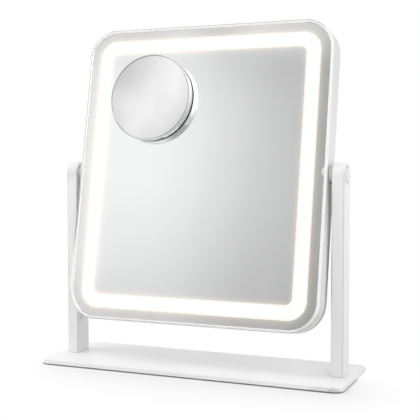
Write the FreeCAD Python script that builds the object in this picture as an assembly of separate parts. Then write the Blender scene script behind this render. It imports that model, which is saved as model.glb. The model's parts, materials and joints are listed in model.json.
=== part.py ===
import FreeCAD, Part
import math
import os

from FreeCAD import Vector

# Lighted makeup mirror: a framed mirror with a band of light, tilting between two posts on a flat base.
# Millimetres. +Z is up, the mirror faces -Y, and the origin is on the floor under the middle of the base.
# The head has a frame of its own: X right, Y back, Z up, origin on the pivot axis, before it is tilted.

# Head outline and pose
head_width = 251.4
head_height = 285.0
head_corner_radius = 28.5
pivot_above_centre = 1.0
rest_tilt_deg = 10.4

# Section of the front frame
frame_front = 12.0
frame_back = 12.0
rim_width = 2.5
rim_round = 1.6
frame_back_round = 1.0
shelf_width = 7.0
shelf_thickness = 2.0
tab_radius = 5.6
tab_reach = 2.6
tab_thickness = 0.6

# Mirror pane, its coating and the clear band that the light comes through
rim_proud = 1.0
glass_thickness = 2.0
glass_side_gap = 0.15
coating_thickness = 0.15
tape_thickness = 0.8
tape_width = 5.0
border_side = 9.6
border_end = 8.4
band_width = 13.9
band_outer_radius = 18.0
band_inner_radius = 6.5

# Light parts behind the pane
diffuser_thickness = 2.0
diffuser_lap = 4.0
tray_side_gap = 0.3
tray_depth = 8.8
tray_wall = 1.2
tray_floor = 1.0
led_board_width = 8.0
led_board_thickness = 0.6
led_board_radius = 8.0
led_pitch = 16.5
led_length = 3.5
led_width = 2.8
led_height = 0.8

# Back cover, its screws and the shallow panel round the button and the socket
cover_thickness = 2.5
cover_lip = 1.5
cover_side_gap = 0.2
clamp_post_radius = 3.0
cover_screw_top_spread = 70.0
cover_screw_side_spread = 85.0
cover_screw_radius = 1.2
cover_screw_head_radius = 2.3
cover_screw_head_height = 1.4
cover_screw_length = 7.0
cover_screw_sink = 0.2
screw_cross_length = 3.2
screw_cross_width = 0.7
screw_cross_depth = 0.7
screw_fit = 0.05
screw_head_gap = 0.3
boss_sink = 0.6
panel_width = 52.0
panel_height = 18.0
panel_radius = 5.0
panel_depth = 0.6

# Control board with its switch and its parts
board_width = 62.0
board_height = 30.0
board_thickness = 1.6
board_radius = 2.0
board_side_gap = 6.0
board_standoff = 4.0
standoff_radius = 2.6
board_screw_inset = 3.5
board_screw_radius = 0.9
board_screw_head_radius = 1.7
board_screw_head_height = 1.0
board_screw_length = 4.0
panel_spread = 14.0
switch_size = 5.2
switch_height = 1.8
switch_base = 0.3
plunger_radius = 1.2
plunger_proud = 0.9
plunger_sink = 0.7
plunger_gap = 0.1
chip_size = 6.0
chip_height = 1.6
coil_radius = 3.2
coil_height = 3.0
capacitor_radius = 2.5
capacitor_height = 5.4
parts_pitch = 11.0
plug_width = 8.0
plug_height = 5.0
plug_depth = 2.6

# Power button
button_radius = 5.0
button_side_gap = 0.25
button_proud = 0.9
button_round = 0.6
button_flange = 1.2
button_flange_thickness = 0.9
button_flange_gap = 0.15
button_stem_radius = 1.5
button_stem_gap = 0.05

# Charging socket
socket_width = 9.0
socket_height = 3.3
socket_radius = 1.4
socket_wall = 0.3
socket_depth = 7.2
socket_inset = 0.5
socket_side_gap = 0.3
tongue_width = 6.6
tongue_height = 0.7
tongue_length = 5.0
tongue_radius = 0.3

# Leads between the control board and the light board
lead_radius = 0.7
lead_spread = 3.0
lead_bend = 1.6
lead_hole_gap = 0.6

# Pivots, both sides alike
pivot_gap = 4.0
running_fit = 0.05
running_gap = 0.15
bolt_radius = 4.0
bolt_thread_radius = 3.0
bolt_head_radius = 5.6
bolt_head_height = 2.5
bolt_socket_flats = 4.0
bolt_socket_depth = 1.6
spacer_radius = 8.3
spacer_round = 0.4
bush_wall = 1.0
bush_flange_radius = 7.6
bush_flange_thickness = 0.7
spring_height = 1.2
spring_thickness = 0.6
spring_lip = 1.8
spring_gap = 0.15
cap_radius = 7.2
cap_side_gap = 0.3
cap_thickness = 1.4
cap_proud = 0.3
cap_round = 0.5
cap_gap = 0.6
cap_skirt_wall = 0.7
bracket_thickness = 2.0
bracket_height = 36.0
bracket_side_gap = 0.3
bracket_nut_radius = 4.0
bracket_rib = 1.5

# Stand
base_overhang = 8.7
base_depth = 96.0
base_thickness = 4.0
base_corner_radius = 9.0
base_edge_round = 0.8
pad_thickness = 1.0
pad_inset = 3.0
swing_clearance = 36.2
post_width = 11.6
post_depth = 21.5
post_edge_round = 1.4
post_wall = 2.2
post_core_radius = 1.0
post_core_stop = 20.0
insert_height = 22.0
insert_side_gap = 0.1
post_screw_radius = 2.0
post_screw_head_radius = 3.8
post_screw_head_height = 2.2
post_screw_length = 16.0
post_screw_spread = 5.0
post_screw_end_gap = 1.0

# Magnifier, standing on the pane by its suction cups
magnifier_radius = 42.0
magnifier_inset_side = 6.8
magnifier_inset_top = 4.1
puck_gap = 0.5
puck_floor = 1.5
puck_wall = 2.6
puck_side_gap = 0.1
puck_top_gap = 0.5
bezel_height = 9.1
bezel_taper = 1.0
bezel_bevel = 0.4
bezel_edge = 0.8
lens_ledge = 1.2
lens_thickness = 1.8
lens_sag = 2.0
lens_recess = 0.2
lens_side_gap = 0.1
lens_seat_gap = 0.2
cup_count = 3
cup_radius = 9.0
cup_top_radius = 4.5
cup_wall = 1.4
cup_foot_gap = 0.1
cup_pocket_gap = 0.5
cup_pocket_depth = 1.6
cup_pocket_roof = 1.0
cup_edge_gap = 5.0

# Planes of the head along its own Y, front to back
rim_y = -frame_front
glass_y = rim_y + rim_proud
coating_y = glass_y + glass_thickness
tape_y = coating_y + coating_thickness
shelf_y = tape_y + tape_thickness
shelf_back_y = shelf_y + shelf_thickness
diffuser_back_y = tape_y + diffuser_thickness
tray_back_y = diffuser_back_y + tray_depth
led_board_back_y = tray_back_y - tray_floor
led_board_y = led_board_back_y - led_board_thickness
cover_y = frame_back - cover_thickness
panel_y = frame_back - panel_depth
board_back_y = cover_y - board_standoff
board_y = board_back_y - board_thickness

# Places across and up the head
head_centre_z = -pivot_above_centre
wall_inner_x = head_width / 2 - rim_width
wall_inner_z = head_height / 2 - rim_width
tray_outer_inset = rim_width + shelf_width + tray_side_gap
tray_inner_side = rim_width + border_side + band_width + diffuser_lap
tray_inner_end = rim_width + border_end + band_width + diffuser_lap
board_x = head_width / 2 - tray_inner_side - board_side_gap - board_width / 2
board_z = head_centre_z - head_height / 2 + tray_inner_end + board_side_gap + board_height / 2
button_x = board_x + panel_spread
socket_x = board_x - panel_spread
cover_boss_radius = shelf_width / 2

# Places along X at the right pivot, from the frame outwards
frame_side_x = head_width / 2
post_inner_x = frame_side_x + pivot_gap
post_outer_x = post_inner_x + post_width
bush_radius = bolt_radius + running_fit + bush_wall
cap_pocket_depth = spring_height + spring_gap + bolt_head_height + cap_gap + cap_thickness - cap_proud
spring_seat_x = post_outer_x - cap_pocket_depth
bolt_head_x = spring_seat_x + spring_height + spring_gap
bracket_x = wall_inner_x - bracket_thickness
bracket_nut_x = head_width / 2 - tray_outer_inset + bracket_side_gap

# Heights of the stand
base_top = pad_thickness + base_thickness
swing_radius = math.hypot(head_height / 2 + pivot_above_centre, max(frame_front, frame_back))
pivot_z = base_top + swing_radius + swing_clearance
base_width = 2 * (post_outer_x + base_overhang)
post_centre_x = post_inner_x + post_width / 2

# Heights of the magnifier over the pane
magnifier_x = -head_width / 2 + rim_width + border_side + band_width + magnifier_inset_side + magnifier_radius
magnifier_z = (head_centre_z + head_height / 2 - rim_width - border_end - band_width
               - magnifier_inset_top - magnifier_radius)
bezel_top = puck_gap + bezel_height
bezel_bore = magnifier_radius - bezel_bevel - bezel_edge
ledge_bore = bezel_bore - lens_ledge
lens_radius = bezel_bore - lens_side_gap
lens_rim = bezel_top - lens_recess
ledge_top = lens_rim - lens_thickness - lens_seat_gap
puck_radius = ledge_bore - puck_side_gap
puck_top = ledge_top - puck_top_gap
cup_circle = puck_radius - puck_wall - cup_radius - cup_pocket_gap - cup_edge_gap

RIGHT = Vector(1, 0, 0)
BACK = Vector(0, 1, 0)
UP = Vector(0, 0, 1)
ORIGIN = Vector(0, 0, 0)
FLAT = 1e-6


def rounded_prism(width, height, radius, centre, across, along, sweep):
    """Rounded rectangle about centre, width along across and height along along, swept by a vector."""
    signs = [(1, 1), (-1, 1), (-1, -1), (1, -1)]
    corners = [centre + across * (a * (width / 2 - radius)) + along * (b * (height / 2 - radius))
               for a, b in signs]

    def spot(corner, quarter_turns):
        angle = quarter_turns * math.pi / 2
        return corner + across * (radius * math.cos(angle)) + along * (radius * math.sin(angle))

    edges = []
    for turn, corner in enumerate(corners):
        end = spot(corner, turn + 1)
        following = spot(corners[(turn + 1) % len(corners)], turn + 1)
        edges.append(Part.Arc(spot(corner, turn), spot(corner, turn + 0.5), end).toShape())
        edges.append(Part.LineSegment(end, following).toShape())
    return Part.Face(Part.Wire(edges)).extrude(sweep)


def head_block(size, y_front, y_back):
    """Block with the rounded outline (width, height, radius) about the middle of the head."""
    width, height, radius = size
    centre = Vector(0, y_front, head_centre_z)
    return rounded_prism(width, height, radius, centre, RIGHT, UP, BACK * (y_back - y_front))


def head_outline(inset):
    """Outline of the head drawn in evenly by inset."""
    return head_width - 2 * inset, head_height - 2 * inset, head_corner_radius - inset


def inner_outline(side, end, radius):
    """Outline drawn in by its own amounts at the sides and at the ends."""
    return head_width - 2 * side, head_height - 2 * end, radius


def rod_x(radius, x_start, x_end, y=0.0, z=0.0):
    """Cylinder along X."""
    return Part.makeCylinder(radius, x_end - x_start, Vector(x_start, y, z), RIGHT)


def rod_y(radius, y_start, y_end, x, z):
    """Cylinder along Y."""
    return Part.makeCylinder(radius, y_end - y_start, Vector(x, y_start, z), BACK)


def rod_z(radius, z_start, z_end, x, y):
    """Cylinder along Z."""
    return Part.makeCylinder(radius, z_end - z_start, Vector(x, y, z_start), UP)


def box(x_start, x_end, y_start, y_end, z_start, z_end):
    """Box between two corners."""
    corner = Vector(x_start, y_start, z_start)
    return Part.makeBox(x_end - x_start, y_end - y_start, z_end - z_start, corner)


def turned(points, axis_point, axis, radial):
    """Solid of revolution of a closed outline of (radius, distance along the axis) points."""
    outline = [axis_point + radial * radius + axis * along for radius, along in points]
    face = Part.Face(Part.makePolygon(outline + [outline[0]]))
    return face.revolve(axis_point, axis, 360)


def round_edges(shape, radius, wanted):
    """Fillet the edges that the test picks."""
    return shape.makeFillet(radius, [edge for edge in shape.Edges if wanted(edge.BoundBox)])


def at_y(y):
    """Test for edges that lie flat at one Y."""
    return lambda bounds: abs(bounds.YMin - y) < FLAT and abs(bounds.YMax - y) < FLAT


def at_z(z):
    """Test for edges that lie flat at one Z."""
    return lambda bounds: abs(bounds.ZMin - z) < FLAT and abs(bounds.ZMax - z) < FLAT


def at_x(x):
    """Test for edges that lie flat at one X."""
    return lambda bounds: abs(bounds.XMin - x) < FLAT and abs(bounds.XMax - x) < FLAT


def mirrored(shape):
    """The same piece on the left."""
    return shape.mirror(ORIGIN, RIGHT)


def tilted(shape):
    """A piece of the head, moved from the head's own frame to its place at rest."""
    placed = shape.copy()
    placed.rotate(ORIGIN, RIGHT, -rest_tilt_deg)
    placed.translate(UP * pivot_z)
    return placed


def raised(shape):
    """A piece of the stand made about the pivot axis, moved up to the pivot."""
    placed = shape.copy()
    placed.translate(UP * pivot_z)
    return placed


def cover_screw_places():
    """Centres (x, z) of the cover's screws, close to the frame's walls."""
    side_x = wall_inner_x - cover_boss_radius + boss_sink
    end_z = wall_inner_z - cover_boss_radius + boss_sink
    places = []
    for sign in (-1, 1):
        for other in (-1, 1):
            places.append((sign * cover_screw_top_spread, head_centre_z + other * end_z))
            places.append((sign * side_x, head_centre_z + other * cover_screw_side_spread))
    return places


def board_screw_places():
    """Centres (x, z) of the screws at the control board's corners."""
    dx = board_width / 2 - board_screw_inset
    dz = board_height / 2 - board_screw_inset
    return [(board_x + a * dx, board_z + b * dz) for a in (-1, 1) for b in (-1, 1)]


def channel_middle():
    """Half width and half height of the middle line of the light channel."""
    half_width = head_width / 2 - (tray_outer_inset + tray_inner_side) / 2
    half_height = head_height / 2 - (tray_outer_inset + tray_inner_end) / 2
    return half_width, half_height


def lead_places():
    """X of each lead, either side of the board's plug."""
    return [board_x - lead_spread / 2, board_x + lead_spread / 2]


def lead_end_z():
    """Height at which the leads turn forward through the floor of the tray."""
    return head_centre_z - channel_middle()[1]


def front_frame():
    """Moulded frame: rim, side wall, the shelf that carries the pane, screw bosses and bracket ribs."""
    frame = head_block(head_outline(0), rim_y, frame_back)
    frame = round_edges(frame, rim_round, at_y(rim_y))
    frame = round_edges(frame, frame_back_round, at_y(frame_back))
    frame = frame.cut(head_block(head_outline(rim_width), rim_y, shelf_y))
    frame = frame.cut(head_block(head_outline(rim_width + shelf_width), shelf_y, shelf_back_y))
    frame = frame.cut(head_block(head_outline(rim_width), shelf_back_y, cover_y))
    frame = frame.cut(head_block(head_outline(cover_lip), cover_y, frame_back))
    added = [rod_y(cover_boss_radius, shelf_back_y, cover_y, x, z) for x, z in cover_screw_places()]
    rib_start = bracket_height / 2 + bracket_side_gap
    for side in (-1, 1):
        x_ends = sorted((side * bracket_x, side * wall_inner_x))
        for end in (-1, 1):
            z_ends = sorted((end * rib_start, end * (rib_start + bracket_rib)))
            added.append(box(*x_ends, shelf_back_y, cover_y, *z_ends))
        tab_x = side * (wall_inner_x - tab_reach + tab_radius)
        tab = rod_y(tab_radius, glass_y - tab_thickness, glass_y, tab_x, 0)
        added.append(tab.common(head_block(head_outline(rim_width / 2), rim_y, shelf_y)))
    frame = frame.fuse(added).removeSplitter()
    pilot_radius = cover_screw_radius + screw_fit
    pilot_y = cover_y - cover_screw_length
    cuts = [rod_y(pilot_radius, pilot_y, cover_y, x, z) for x, z in cover_screw_places()]
    cuts.append(rod_x(bolt_thread_radius + running_fit, -frame_side_x, frame_side_x))
    nut_room = bracket_nut_radius + bracket_side_gap
    for side in (-1, 1):
        cuts.append(rod_x(nut_room, *sorted((side * wall_inner_x, side * (wall_inner_x - shelf_width)))))
    return frame.cut(cuts)


def pane_outline():
    """Outline of the mirror pane inside the rim."""
    return head_outline(rim_width + glass_side_gap)


def band_outer_outline():
    """Outer edge of the clear band."""
    return inner_outline(rim_width + border_side, rim_width + border_end, band_outer_radius)


def band_inner_outline():
    """Inner edge of the clear band."""
    return inner_outline(rim_width + border_side + band_width, rim_width + border_end + band_width,
                         band_inner_radius)


def mirror_glass():
    """Flat pane under the two tabs of the rim."""
    return head_block(pane_outline(), glass_y, coating_y)


def mirror_coating():
    """Reflective coating on the back of the pane: a border and a centre, clear between them."""
    border = head_block(pane_outline(), coating_y, tape_y)
    border = border.cut(head_block(band_outer_outline(), coating_y, tape_y))
    centre = head_block(band_inner_outline(), coating_y, tape_y)
    return Part.makeCompound([border, centre])


def glass_tape():
    """Double sided tape between the shelf and the border of the pane."""
    tape = head_block(pane_outline(), tape_y, shelf_y)
    return tape.cut(head_block(head_outline(rim_width + glass_side_gap + tape_width), tape_y, shelf_y))


def tray_inner_outline():
    """Inner edge of the light channel and of the diffuser."""
    return inner_outline(tray_inner_side, tray_inner_end, band_inner_radius)


def light_diffuser():
    """Opal ring between the pane and the light channel."""
    ring = head_block(head_outline(tray_outer_inset), tape_y, diffuser_back_y)
    return ring.cut(head_block(tray_inner_outline(), tape_y, diffuser_back_y))


def light_tray():
    """White channel that holds the light board, with holes in its floor for the leads."""
    tray = head_block(head_outline(tray_outer_inset), diffuser_back_y, tray_back_y)
    tray = tray.cut(head_block(tray_inner_outline(), diffuser_back_y, tray_back_y))
    channel = head_block(head_outline(tray_outer_inset + tray_wall), diffuser_back_y, led_board_back_y)
    inner_wall = inner_outline(tray_inner_side - tray_wall, tray_inner_end - tray_wall,
                               band_inner_radius + tray_wall)
    channel = channel.cut(head_block(inner_wall, diffuser_back_y, led_board_back_y))
    holes = [rod_y(lead_radius + lead_hole_gap, led_board_back_y, tray_back_y, x, lead_end_z())
             for x in lead_places()]
    return tray.cut([channel] + holes)


def led_board():
    """Ring shaped board in the middle of the channel."""
    half_width, half_height = channel_middle()
    half_board = led_board_width / 2
    outer = (2 * (half_width + half_board), 2 * (half_height + half_board), led_board_radius + half_board)
    inner = (2 * (half_width - half_board), 2 * (half_height - half_board), led_board_radius - half_board)
    board = head_block(outer, led_board_y, led_board_back_y)
    return board.cut(head_block(inner, led_board_y, led_board_back_y))


def led_row(half_length):
    """Places along one straight side of the light board, evenly pitched about its middle."""
    count = int(2 * (half_length - led_board_radius) / led_pitch) + 1
    return [(index - (count - 1) / 2) * led_pitch for index in range(count)]


def led_chip(x, z, width, height):
    """One light chip on the front of the light board."""
    front_y = led_board_y - led_height
    return box(x - width / 2, x + width / 2, front_y, led_board_y, z - height / 2, z + height / 2)


def led_chips():
    """Light chips along the four sides of the board."""
    half_width, half_height = channel_middle()
    chips = []
    for sign in (-1, 1):
        z = head_centre_z + sign * half_height
        chips += [led_chip(x, z, led_length, led_width) for x in led_row(half_width)]
        x = sign * half_width
        chips += [led_chip(x, head_centre_z + step, led_width, led_length) for step in led_row(half_height)]
    return Part.makeCompound(chips)


def clamp_post_places():
    """Centres (x, z) of the posts of the cover that press on the tray."""
    half_width, half_height = channel_middle()
    places = []
    for sign in (-1, 1):
        for other in (-1, 1):
            places.append((sign * cover_screw_top_spread, head_centre_z + other * half_height))
            places.append((sign * half_width, head_centre_z + other * cover_screw_side_spread))
    return places


def back_cover():
    """Flat cover let into the back of the frame, with posts inside and a shallow panel outside."""
    inset = cover_lip + cover_side_gap
    cover = head_block(head_outline(inset), cover_y, frame_back)
    posts = [rod_y(clamp_post_radius, tray_back_y, cover_y, x, z) for x, z in clamp_post_places()]
    posts += [rod_y(standoff_radius, board_back_y, cover_y, x, z) for x, z in board_screw_places()]
    cover = cover.fuse(posts).removeSplitter()
    panel_centre = Vector(board_x, panel_y, board_z)
    panel_sweep = BACK * panel_depth
    cuts = [rounded_prism(panel_width, panel_height, panel_radius, panel_centre, RIGHT, UP, panel_sweep)]
    cuts.append(rod_y(button_radius + button_side_gap, cover_y, panel_y, button_x, board_z))
    cuts.append(socket_prism(socket_side_gap, cover_y, panel_y))
    head_room = cover_screw_head_radius + screw_head_gap
    floor_y = frame_back - cover_screw_head_height - cover_screw_sink
    for x, z in cover_screw_places():
        cuts.append(rod_y(head_room, floor_y, frame_back, x, z))
        cuts.append(rod_y(cover_screw_radius + screw_fit, cover_y, floor_y, x, z))
    for x, z in board_screw_places():
        cuts.append(rod_y(board_screw_radius + screw_fit, board_back_y, cover_y, x, z))
    return cover.cut(cuts)


def cross_slot(x, y, z):
    """Cross recess in the head of a screw whose face looks back from the plane y."""
    arm = screw_cross_length / 2
    half = screw_cross_width / 2
    floor_y = y - screw_cross_depth
    flat_bar = box(x - arm, x + arm, floor_y, y, z - half, z + half)
    return flat_bar.fuse(box(x - half, x + half, floor_y, y, z - arm, z + arm))


def cover_screws():
    """Pan head screws through the cover into the frame's bosses."""
    head_y = frame_back - cover_screw_sink
    under_y = head_y - cover_screw_head_height
    tip_y = under_y - cover_screw_length + cover_screw_head_height
    screws = []
    for x, z in cover_screw_places():
        screw = rod_y(cover_screw_head_radius, under_y, head_y, x, z)
        screw = screw.fuse(rod_y(cover_screw_radius, tip_y, under_y, x, z)).removeSplitter()
        screws.append(screw.cut(cross_slot(x, head_y, z)))
    return Part.makeCompound(screws)


def socket_prism(grow, y_start, y_end):
    """Rounded outline of the socket, grown evenly, between two depths."""
    centre = Vector(socket_x, y_start, board_z)
    sweep = BACK * (y_end - y_start)
    return rounded_prism(socket_width + 2 * grow, socket_height + 2 * grow, socket_radius + grow, centre,
                         RIGHT, UP, sweep)


def socket_shell():
    """Steel shell of the charging socket, closed at its front end and open at the back of the mirror."""
    mouth_y = panel_y - socket_inset
    closed_y = mouth_y - socket_depth
    shell = socket_prism(0, closed_y, mouth_y)
    return shell.cut(socket_prism(-socket_wall, closed_y + socket_wall, mouth_y))


def socket_tongue():
    """Contact tongue in the middle of the socket."""
    root_y = panel_y - socket_inset - socket_depth + socket_wall
    centre = Vector(socket_x, root_y, board_z)
    return rounded_prism(tongue_width, tongue_height, tongue_radius, centre, RIGHT, UP, BACK * tongue_length)


def control_board():
    """Circuit board on the cover's standoffs, with a slot for the socket."""
    centre = Vector(board_x, board_y, board_z)
    board = rounded_prism(board_width, board_height, board_radius, centre, RIGHT, UP, BACK * board_thickness)
    cuts = [socket_prism(screw_fit, board_y, board_back_y)]
    for x, z in board_screw_places():
        cuts.append(rod_y(board_screw_radius + screw_fit, board_y, board_back_y, x, z))
    return board.cut(cuts)


def board_parts():
    """Driver chip, coil and capacitor on the front of the board, and the leads' plug on its back."""
    chip_half = chip_size / 2
    chip = box(board_x - chip_half, board_x + chip_half, board_y - chip_height, board_y,
               board_z - chip_half, board_z + chip_half)
    coil_x = board_x + parts_pitch
    coil = rod_y(coil_radius, board_y - coil_height, board_y, coil_x, board_z)
    capacitor = rod_y(capacitor_radius, board_y - capacitor_height, board_y, coil_x + parts_pitch, board_z)
    plug_foot = board_z - board_height / 2
    plug = box(board_x - plug_width / 2, board_x + plug_width / 2, board_back_y, board_back_y + plug_depth,
               plug_foot, plug_foot + plug_height)
    return Part.makeCompound([chip, coil, capacitor, plug])


def board_screws():
    """Screws through the board into the standoffs."""
    tip_y = board_y + board_screw_length
    screws = []
    for x, z in board_screw_places():
        screw = rod_y(board_screw_head_radius, board_y - board_screw_head_height, board_y, x, z)
        screws.append(screw.fuse(rod_y(board_screw_radius, board_y, tip_y, x, z)).removeSplitter())
    return Part.makeCompound(screws)


def led_leads():
    """Two leads from the plug, down behind the tray and forward through its floor to the light board."""
    start_z = board_z - board_height / 2
    run_y = board_back_y + plug_depth / 2
    end_z = lead_end_z()
    bend_cut = lead_bend * (1 - math.sqrt(0.5))
    leads = []
    for x in lead_places():
        top = Vector(x, run_y, start_z)
        bend_start = Vector(x, run_y, end_z + lead_bend)
        bend_middle = Vector(x, run_y - bend_cut, end_z + bend_cut)
        bend_end = Vector(x, run_y - lead_bend, end_z)
        finish = Vector(x, led_board_back_y, end_z)
        edges = [Part.LineSegment(top, bend_start).toShape()]
        edges.append(Part.Arc(bend_start, bend_middle, bend_end).toShape())
        edges.append(Part.LineSegment(bend_end, finish).toShape())
        section = Part.Wire([Part.makeCircle(lead_radius, top, UP)])
        leads.append(Part.Wire(edges).makePipeShell([section], True, False))
    return Part.makeCompound(leads)


def switch_body():
    """Push switch on the back of the board, hollow for its plunger."""
    half = switch_size / 2
    body = box(button_x - half, button_x + half, board_back_y, board_back_y + switch_height,
               board_z - half, board_z + half)
    well_y = board_back_y + switch_base
    well = rod_y(plunger_radius + plunger_gap, well_y, board_back_y + switch_height, button_x, board_z)
    return body.cut(well)


def switch_plunger():
    """Plunger of the push switch, which travels with the button."""
    top_y = board_back_y + switch_height
    return rod_y(plunger_radius, top_y - plunger_sink, top_y + plunger_proud, button_x, board_z)


def power_button():
    """Round button with a flange behind the cover and a stem onto the switch."""
    outer_y = panel_y + button_proud
    flange_back_y = cover_y - button_flange_gap
    flange_y = flange_back_y - button_flange_thickness
    stem_y = board_back_y + switch_height + plunger_proud + button_stem_gap
    cap = rod_y(button_radius, flange_y, outer_y, button_x, board_z)
    cap = round_edges(cap, button_round, at_y(outer_y))
    flange = rod_y(button_radius + button_flange, flange_y, flange_back_y, button_x, board_z)
    stem = rod_y(button_stem_radius, stem_y, flange_y, button_x, board_z)
    return cap.fuse([flange, stem]).removeSplitter()


def pivot_bracket():
    """Steel plate with a nut against the inside of the right wall, kept from turning by the frame's ribs."""
    half = bracket_height / 2
    front_y = shelf_back_y + bracket_side_gap
    back_y = cover_y - bracket_side_gap
    plate = box(bracket_x, wall_inner_x, front_y, back_y, -half, half)
    bracket = plate.fuse(rod_x(bracket_nut_radius, bracket_nut_x, bracket_x)).removeSplitter()
    return bracket.cut(rod_x(bolt_thread_radius + running_fit, bracket_nut_x, wall_inner_x))


def pivot_bolt():
    """Shoulder bolt from the right post into the bracket, with a hexagon socket."""
    head_end_x = bolt_head_x + bolt_head_height
    bolt = rod_x(bolt_head_radius, bolt_head_x, head_end_x)
    bolt = bolt.fuse([rod_x(bolt_radius, frame_side_x, bolt_head_x),
                      rod_x(bolt_thread_radius, bracket_nut_x, frame_side_x)]).removeSplitter()
    reach = bolt_socket_flats / math.sqrt(3)
    corners = [Vector(head_end_x, reach * math.cos(turn * math.pi / 3), reach * math.sin(turn * math.pi / 3))
               for turn in range(7)]
    return bolt.cut(Part.Face(Part.makePolygon(corners)).extrude(RIGHT * -bolt_socket_depth))


def pivot_spacer():
    """Round boss between the frame's side and the bush of the right post."""
    end_x = post_inner_x - bush_flange_thickness - running_gap
    spacer = rod_x(spacer_radius, frame_side_x, end_x)
    spacer = round_edges(spacer, spacer_round, at_x(end_x))
    return spacer.cut(rod_x(bolt_radius + running_fit, frame_side_x, end_x))


def pivot_bush():
    """Flanged bush in the right post."""
    flange_x = post_inner_x - bush_flange_thickness
    bush = rod_x(bush_radius, post_inner_x, spring_seat_x)
    bush = bush.fuse(rod_x(bush_flange_radius, flange_x, post_inner_x)).removeSplitter()
    return bush.cut(rod_x(bolt_radius + running_fit, flange_x, spring_seat_x))


def disc_spring():
    """Coned washer under the bolt's head that gives the tilt its drag."""
    inner = bolt_radius + 2 * running_fit
    outer = inner + spring_lip
    section = [(outer, 0), (outer, spring_thickness), (inner, spring_height),
               (inner, spring_height - spring_thickness)]
    return turned(section, Vector(spring_seat_x, 0, 0), RIGHT, UP)


def pivot_cap():
    """Cap over the bolt, flush in the outside of the right post, standing on its skirt."""
    outer_x = post_outer_x + cap_proud
    inner_x = outer_x - cap_thickness
    cap = rod_x(cap_radius, spring_seat_x, outer_x)
    cap = round_edges(cap, cap_round, at_x(outer_x))
    return cap.cut(rod_x(cap_radius - cap_skirt_wall, spring_seat_x, inner_x))


def post_core_size():
    """Width and depth of the hollow in a post."""
    return post_width - 2 * post_wall, post_depth - 2 * post_wall


def right_post():
    """Post with a half round top about the pivot, hollow from its foot to below the pivot."""
    half = post_depth / 2
    x = post_inner_x
    foot_front = Vector(x, -half, base_top)
    foot_back = Vector(x, half, base_top)
    neck_back = Vector(x, half, pivot_z)
    crown = Vector(x, 0, pivot_z + half)
    neck_front = Vector(x, -half, pivot_z)
    edges = [Part.LineSegment(foot_front, foot_back).toShape()]
    edges.append(Part.LineSegment(foot_back, neck_back).toShape())
    edges.append(Part.Arc(neck_back, crown, neck_front).toShape())
    edges.append(Part.LineSegment(neck_front, foot_front).toShape())
    post = Part.Face(Part.Wire(edges)).extrude(RIGHT * post_width)
    sides = (at_x(post_inner_x), at_x(post_outer_x))
    post = round_edges(post, post_edge_round,
                       lambda bounds: bounds.ZMax > base_top + FLAT and any(test(bounds) for test in sides))
    core_width, core_depth = post_core_size()
    core_height = pivot_z - post_core_stop - base_top
    foot = Vector(post_centre_x, 0, base_top)
    core = rounded_prism(core_width, core_depth, post_core_radius, foot, RIGHT, BACK, UP * core_height)
    bore = rod_x(bush_radius + running_fit, post_inner_x, spring_seat_x, 0, pivot_z)
    pocket = rod_x(cap_radius + cap_side_gap, spring_seat_x, post_outer_x, 0, pivot_z)
    return post.cut([core, bore, pocket])


def post_screw_places():
    """Centres (x, y) of the screws under the right post."""
    return [(post_centre_x, sign * post_screw_spread) for sign in (-1, 1)]


def post_insert():
    """Tapped block in the foot of the right post."""
    core_width, core_depth = post_core_size()
    foot = Vector(post_centre_x, 0, base_top)
    insert = rounded_prism(core_width - 2 * insert_side_gap, core_depth - 2 * insert_side_gap,
                           post_core_radius, foot, RIGHT, BACK, UP * insert_height)
    depth = post_screw_length - base_thickness + post_screw_end_gap
    holes = [rod_z(post_screw_radius + screw_fit, base_top, base_top + depth, x, y)
             for x, y in post_screw_places()]
    return insert.cut(holes)


def both_sides(places):
    """Places on the right and the same places on the left."""
    return places + [(-x, y) for x, y in places]


def post_screws():
    """Countersunk screws from under the base into the posts."""
    screws = []
    for x, y in both_sides(post_screw_places()):
        foot = Vector(x, y, pad_thickness)
        head = Part.makeCone(post_screw_head_radius, post_screw_radius, post_screw_head_height, foot, UP)
        shank = rod_z(post_screw_radius, pad_thickness, pad_thickness + post_screw_length, x, y)
        screws.append(head.fuse(shank).removeSplitter())
    return Part.makeCompound(screws)


def base_plate():
    """Flat steel plate with soft top edges, countersunk from below for the posts' screws."""
    foot = Vector(0, 0, pad_thickness)
    plate = rounded_prism(base_width, base_depth, base_corner_radius, foot, RIGHT, BACK, UP * base_thickness)
    plate = round_edges(plate, base_edge_round, at_z(base_top))
    cuts = []
    for x, y in both_sides(post_screw_places()):
        cuts.append(rod_z(post_screw_radius + screw_fit, pad_thickness, base_top, x, y))
        cuts.append(Part.makeCone(post_screw_head_radius + screw_fit, post_screw_radius + screw_fit,
                                  post_screw_head_height, Vector(x, y, pad_thickness), UP))
    return plate.cut(cuts)


def base_pad():
    """Non-slip sheet under the plate, set in from its edge."""
    width = base_width - 2 * pad_inset
    depth = base_depth - 2 * pad_inset
    radius = base_corner_radius - pad_inset
    return rounded_prism(width, depth, radius, ORIGIN, RIGHT, BACK, UP * pad_thickness)


def on_magnifier(points, x=0.0, z=0.0):
    """Turned piece of the magnifier from (radius, height over the pane) points, off its middle by x and z."""
    foot = Vector(magnifier_x + x, glass_y, magnifier_z + z)
    return turned(points, foot, BACK * -1, RIGHT)


def cup_places():
    """Offsets (x, z) of the suction cups from the middle of the magnifier."""
    turns = [index * 2 * math.pi / cup_count + math.pi / 2 for index in range(cup_count)]
    return [(cup_circle * math.cos(turn), cup_circle * math.sin(turn)) for turn in turns]


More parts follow.
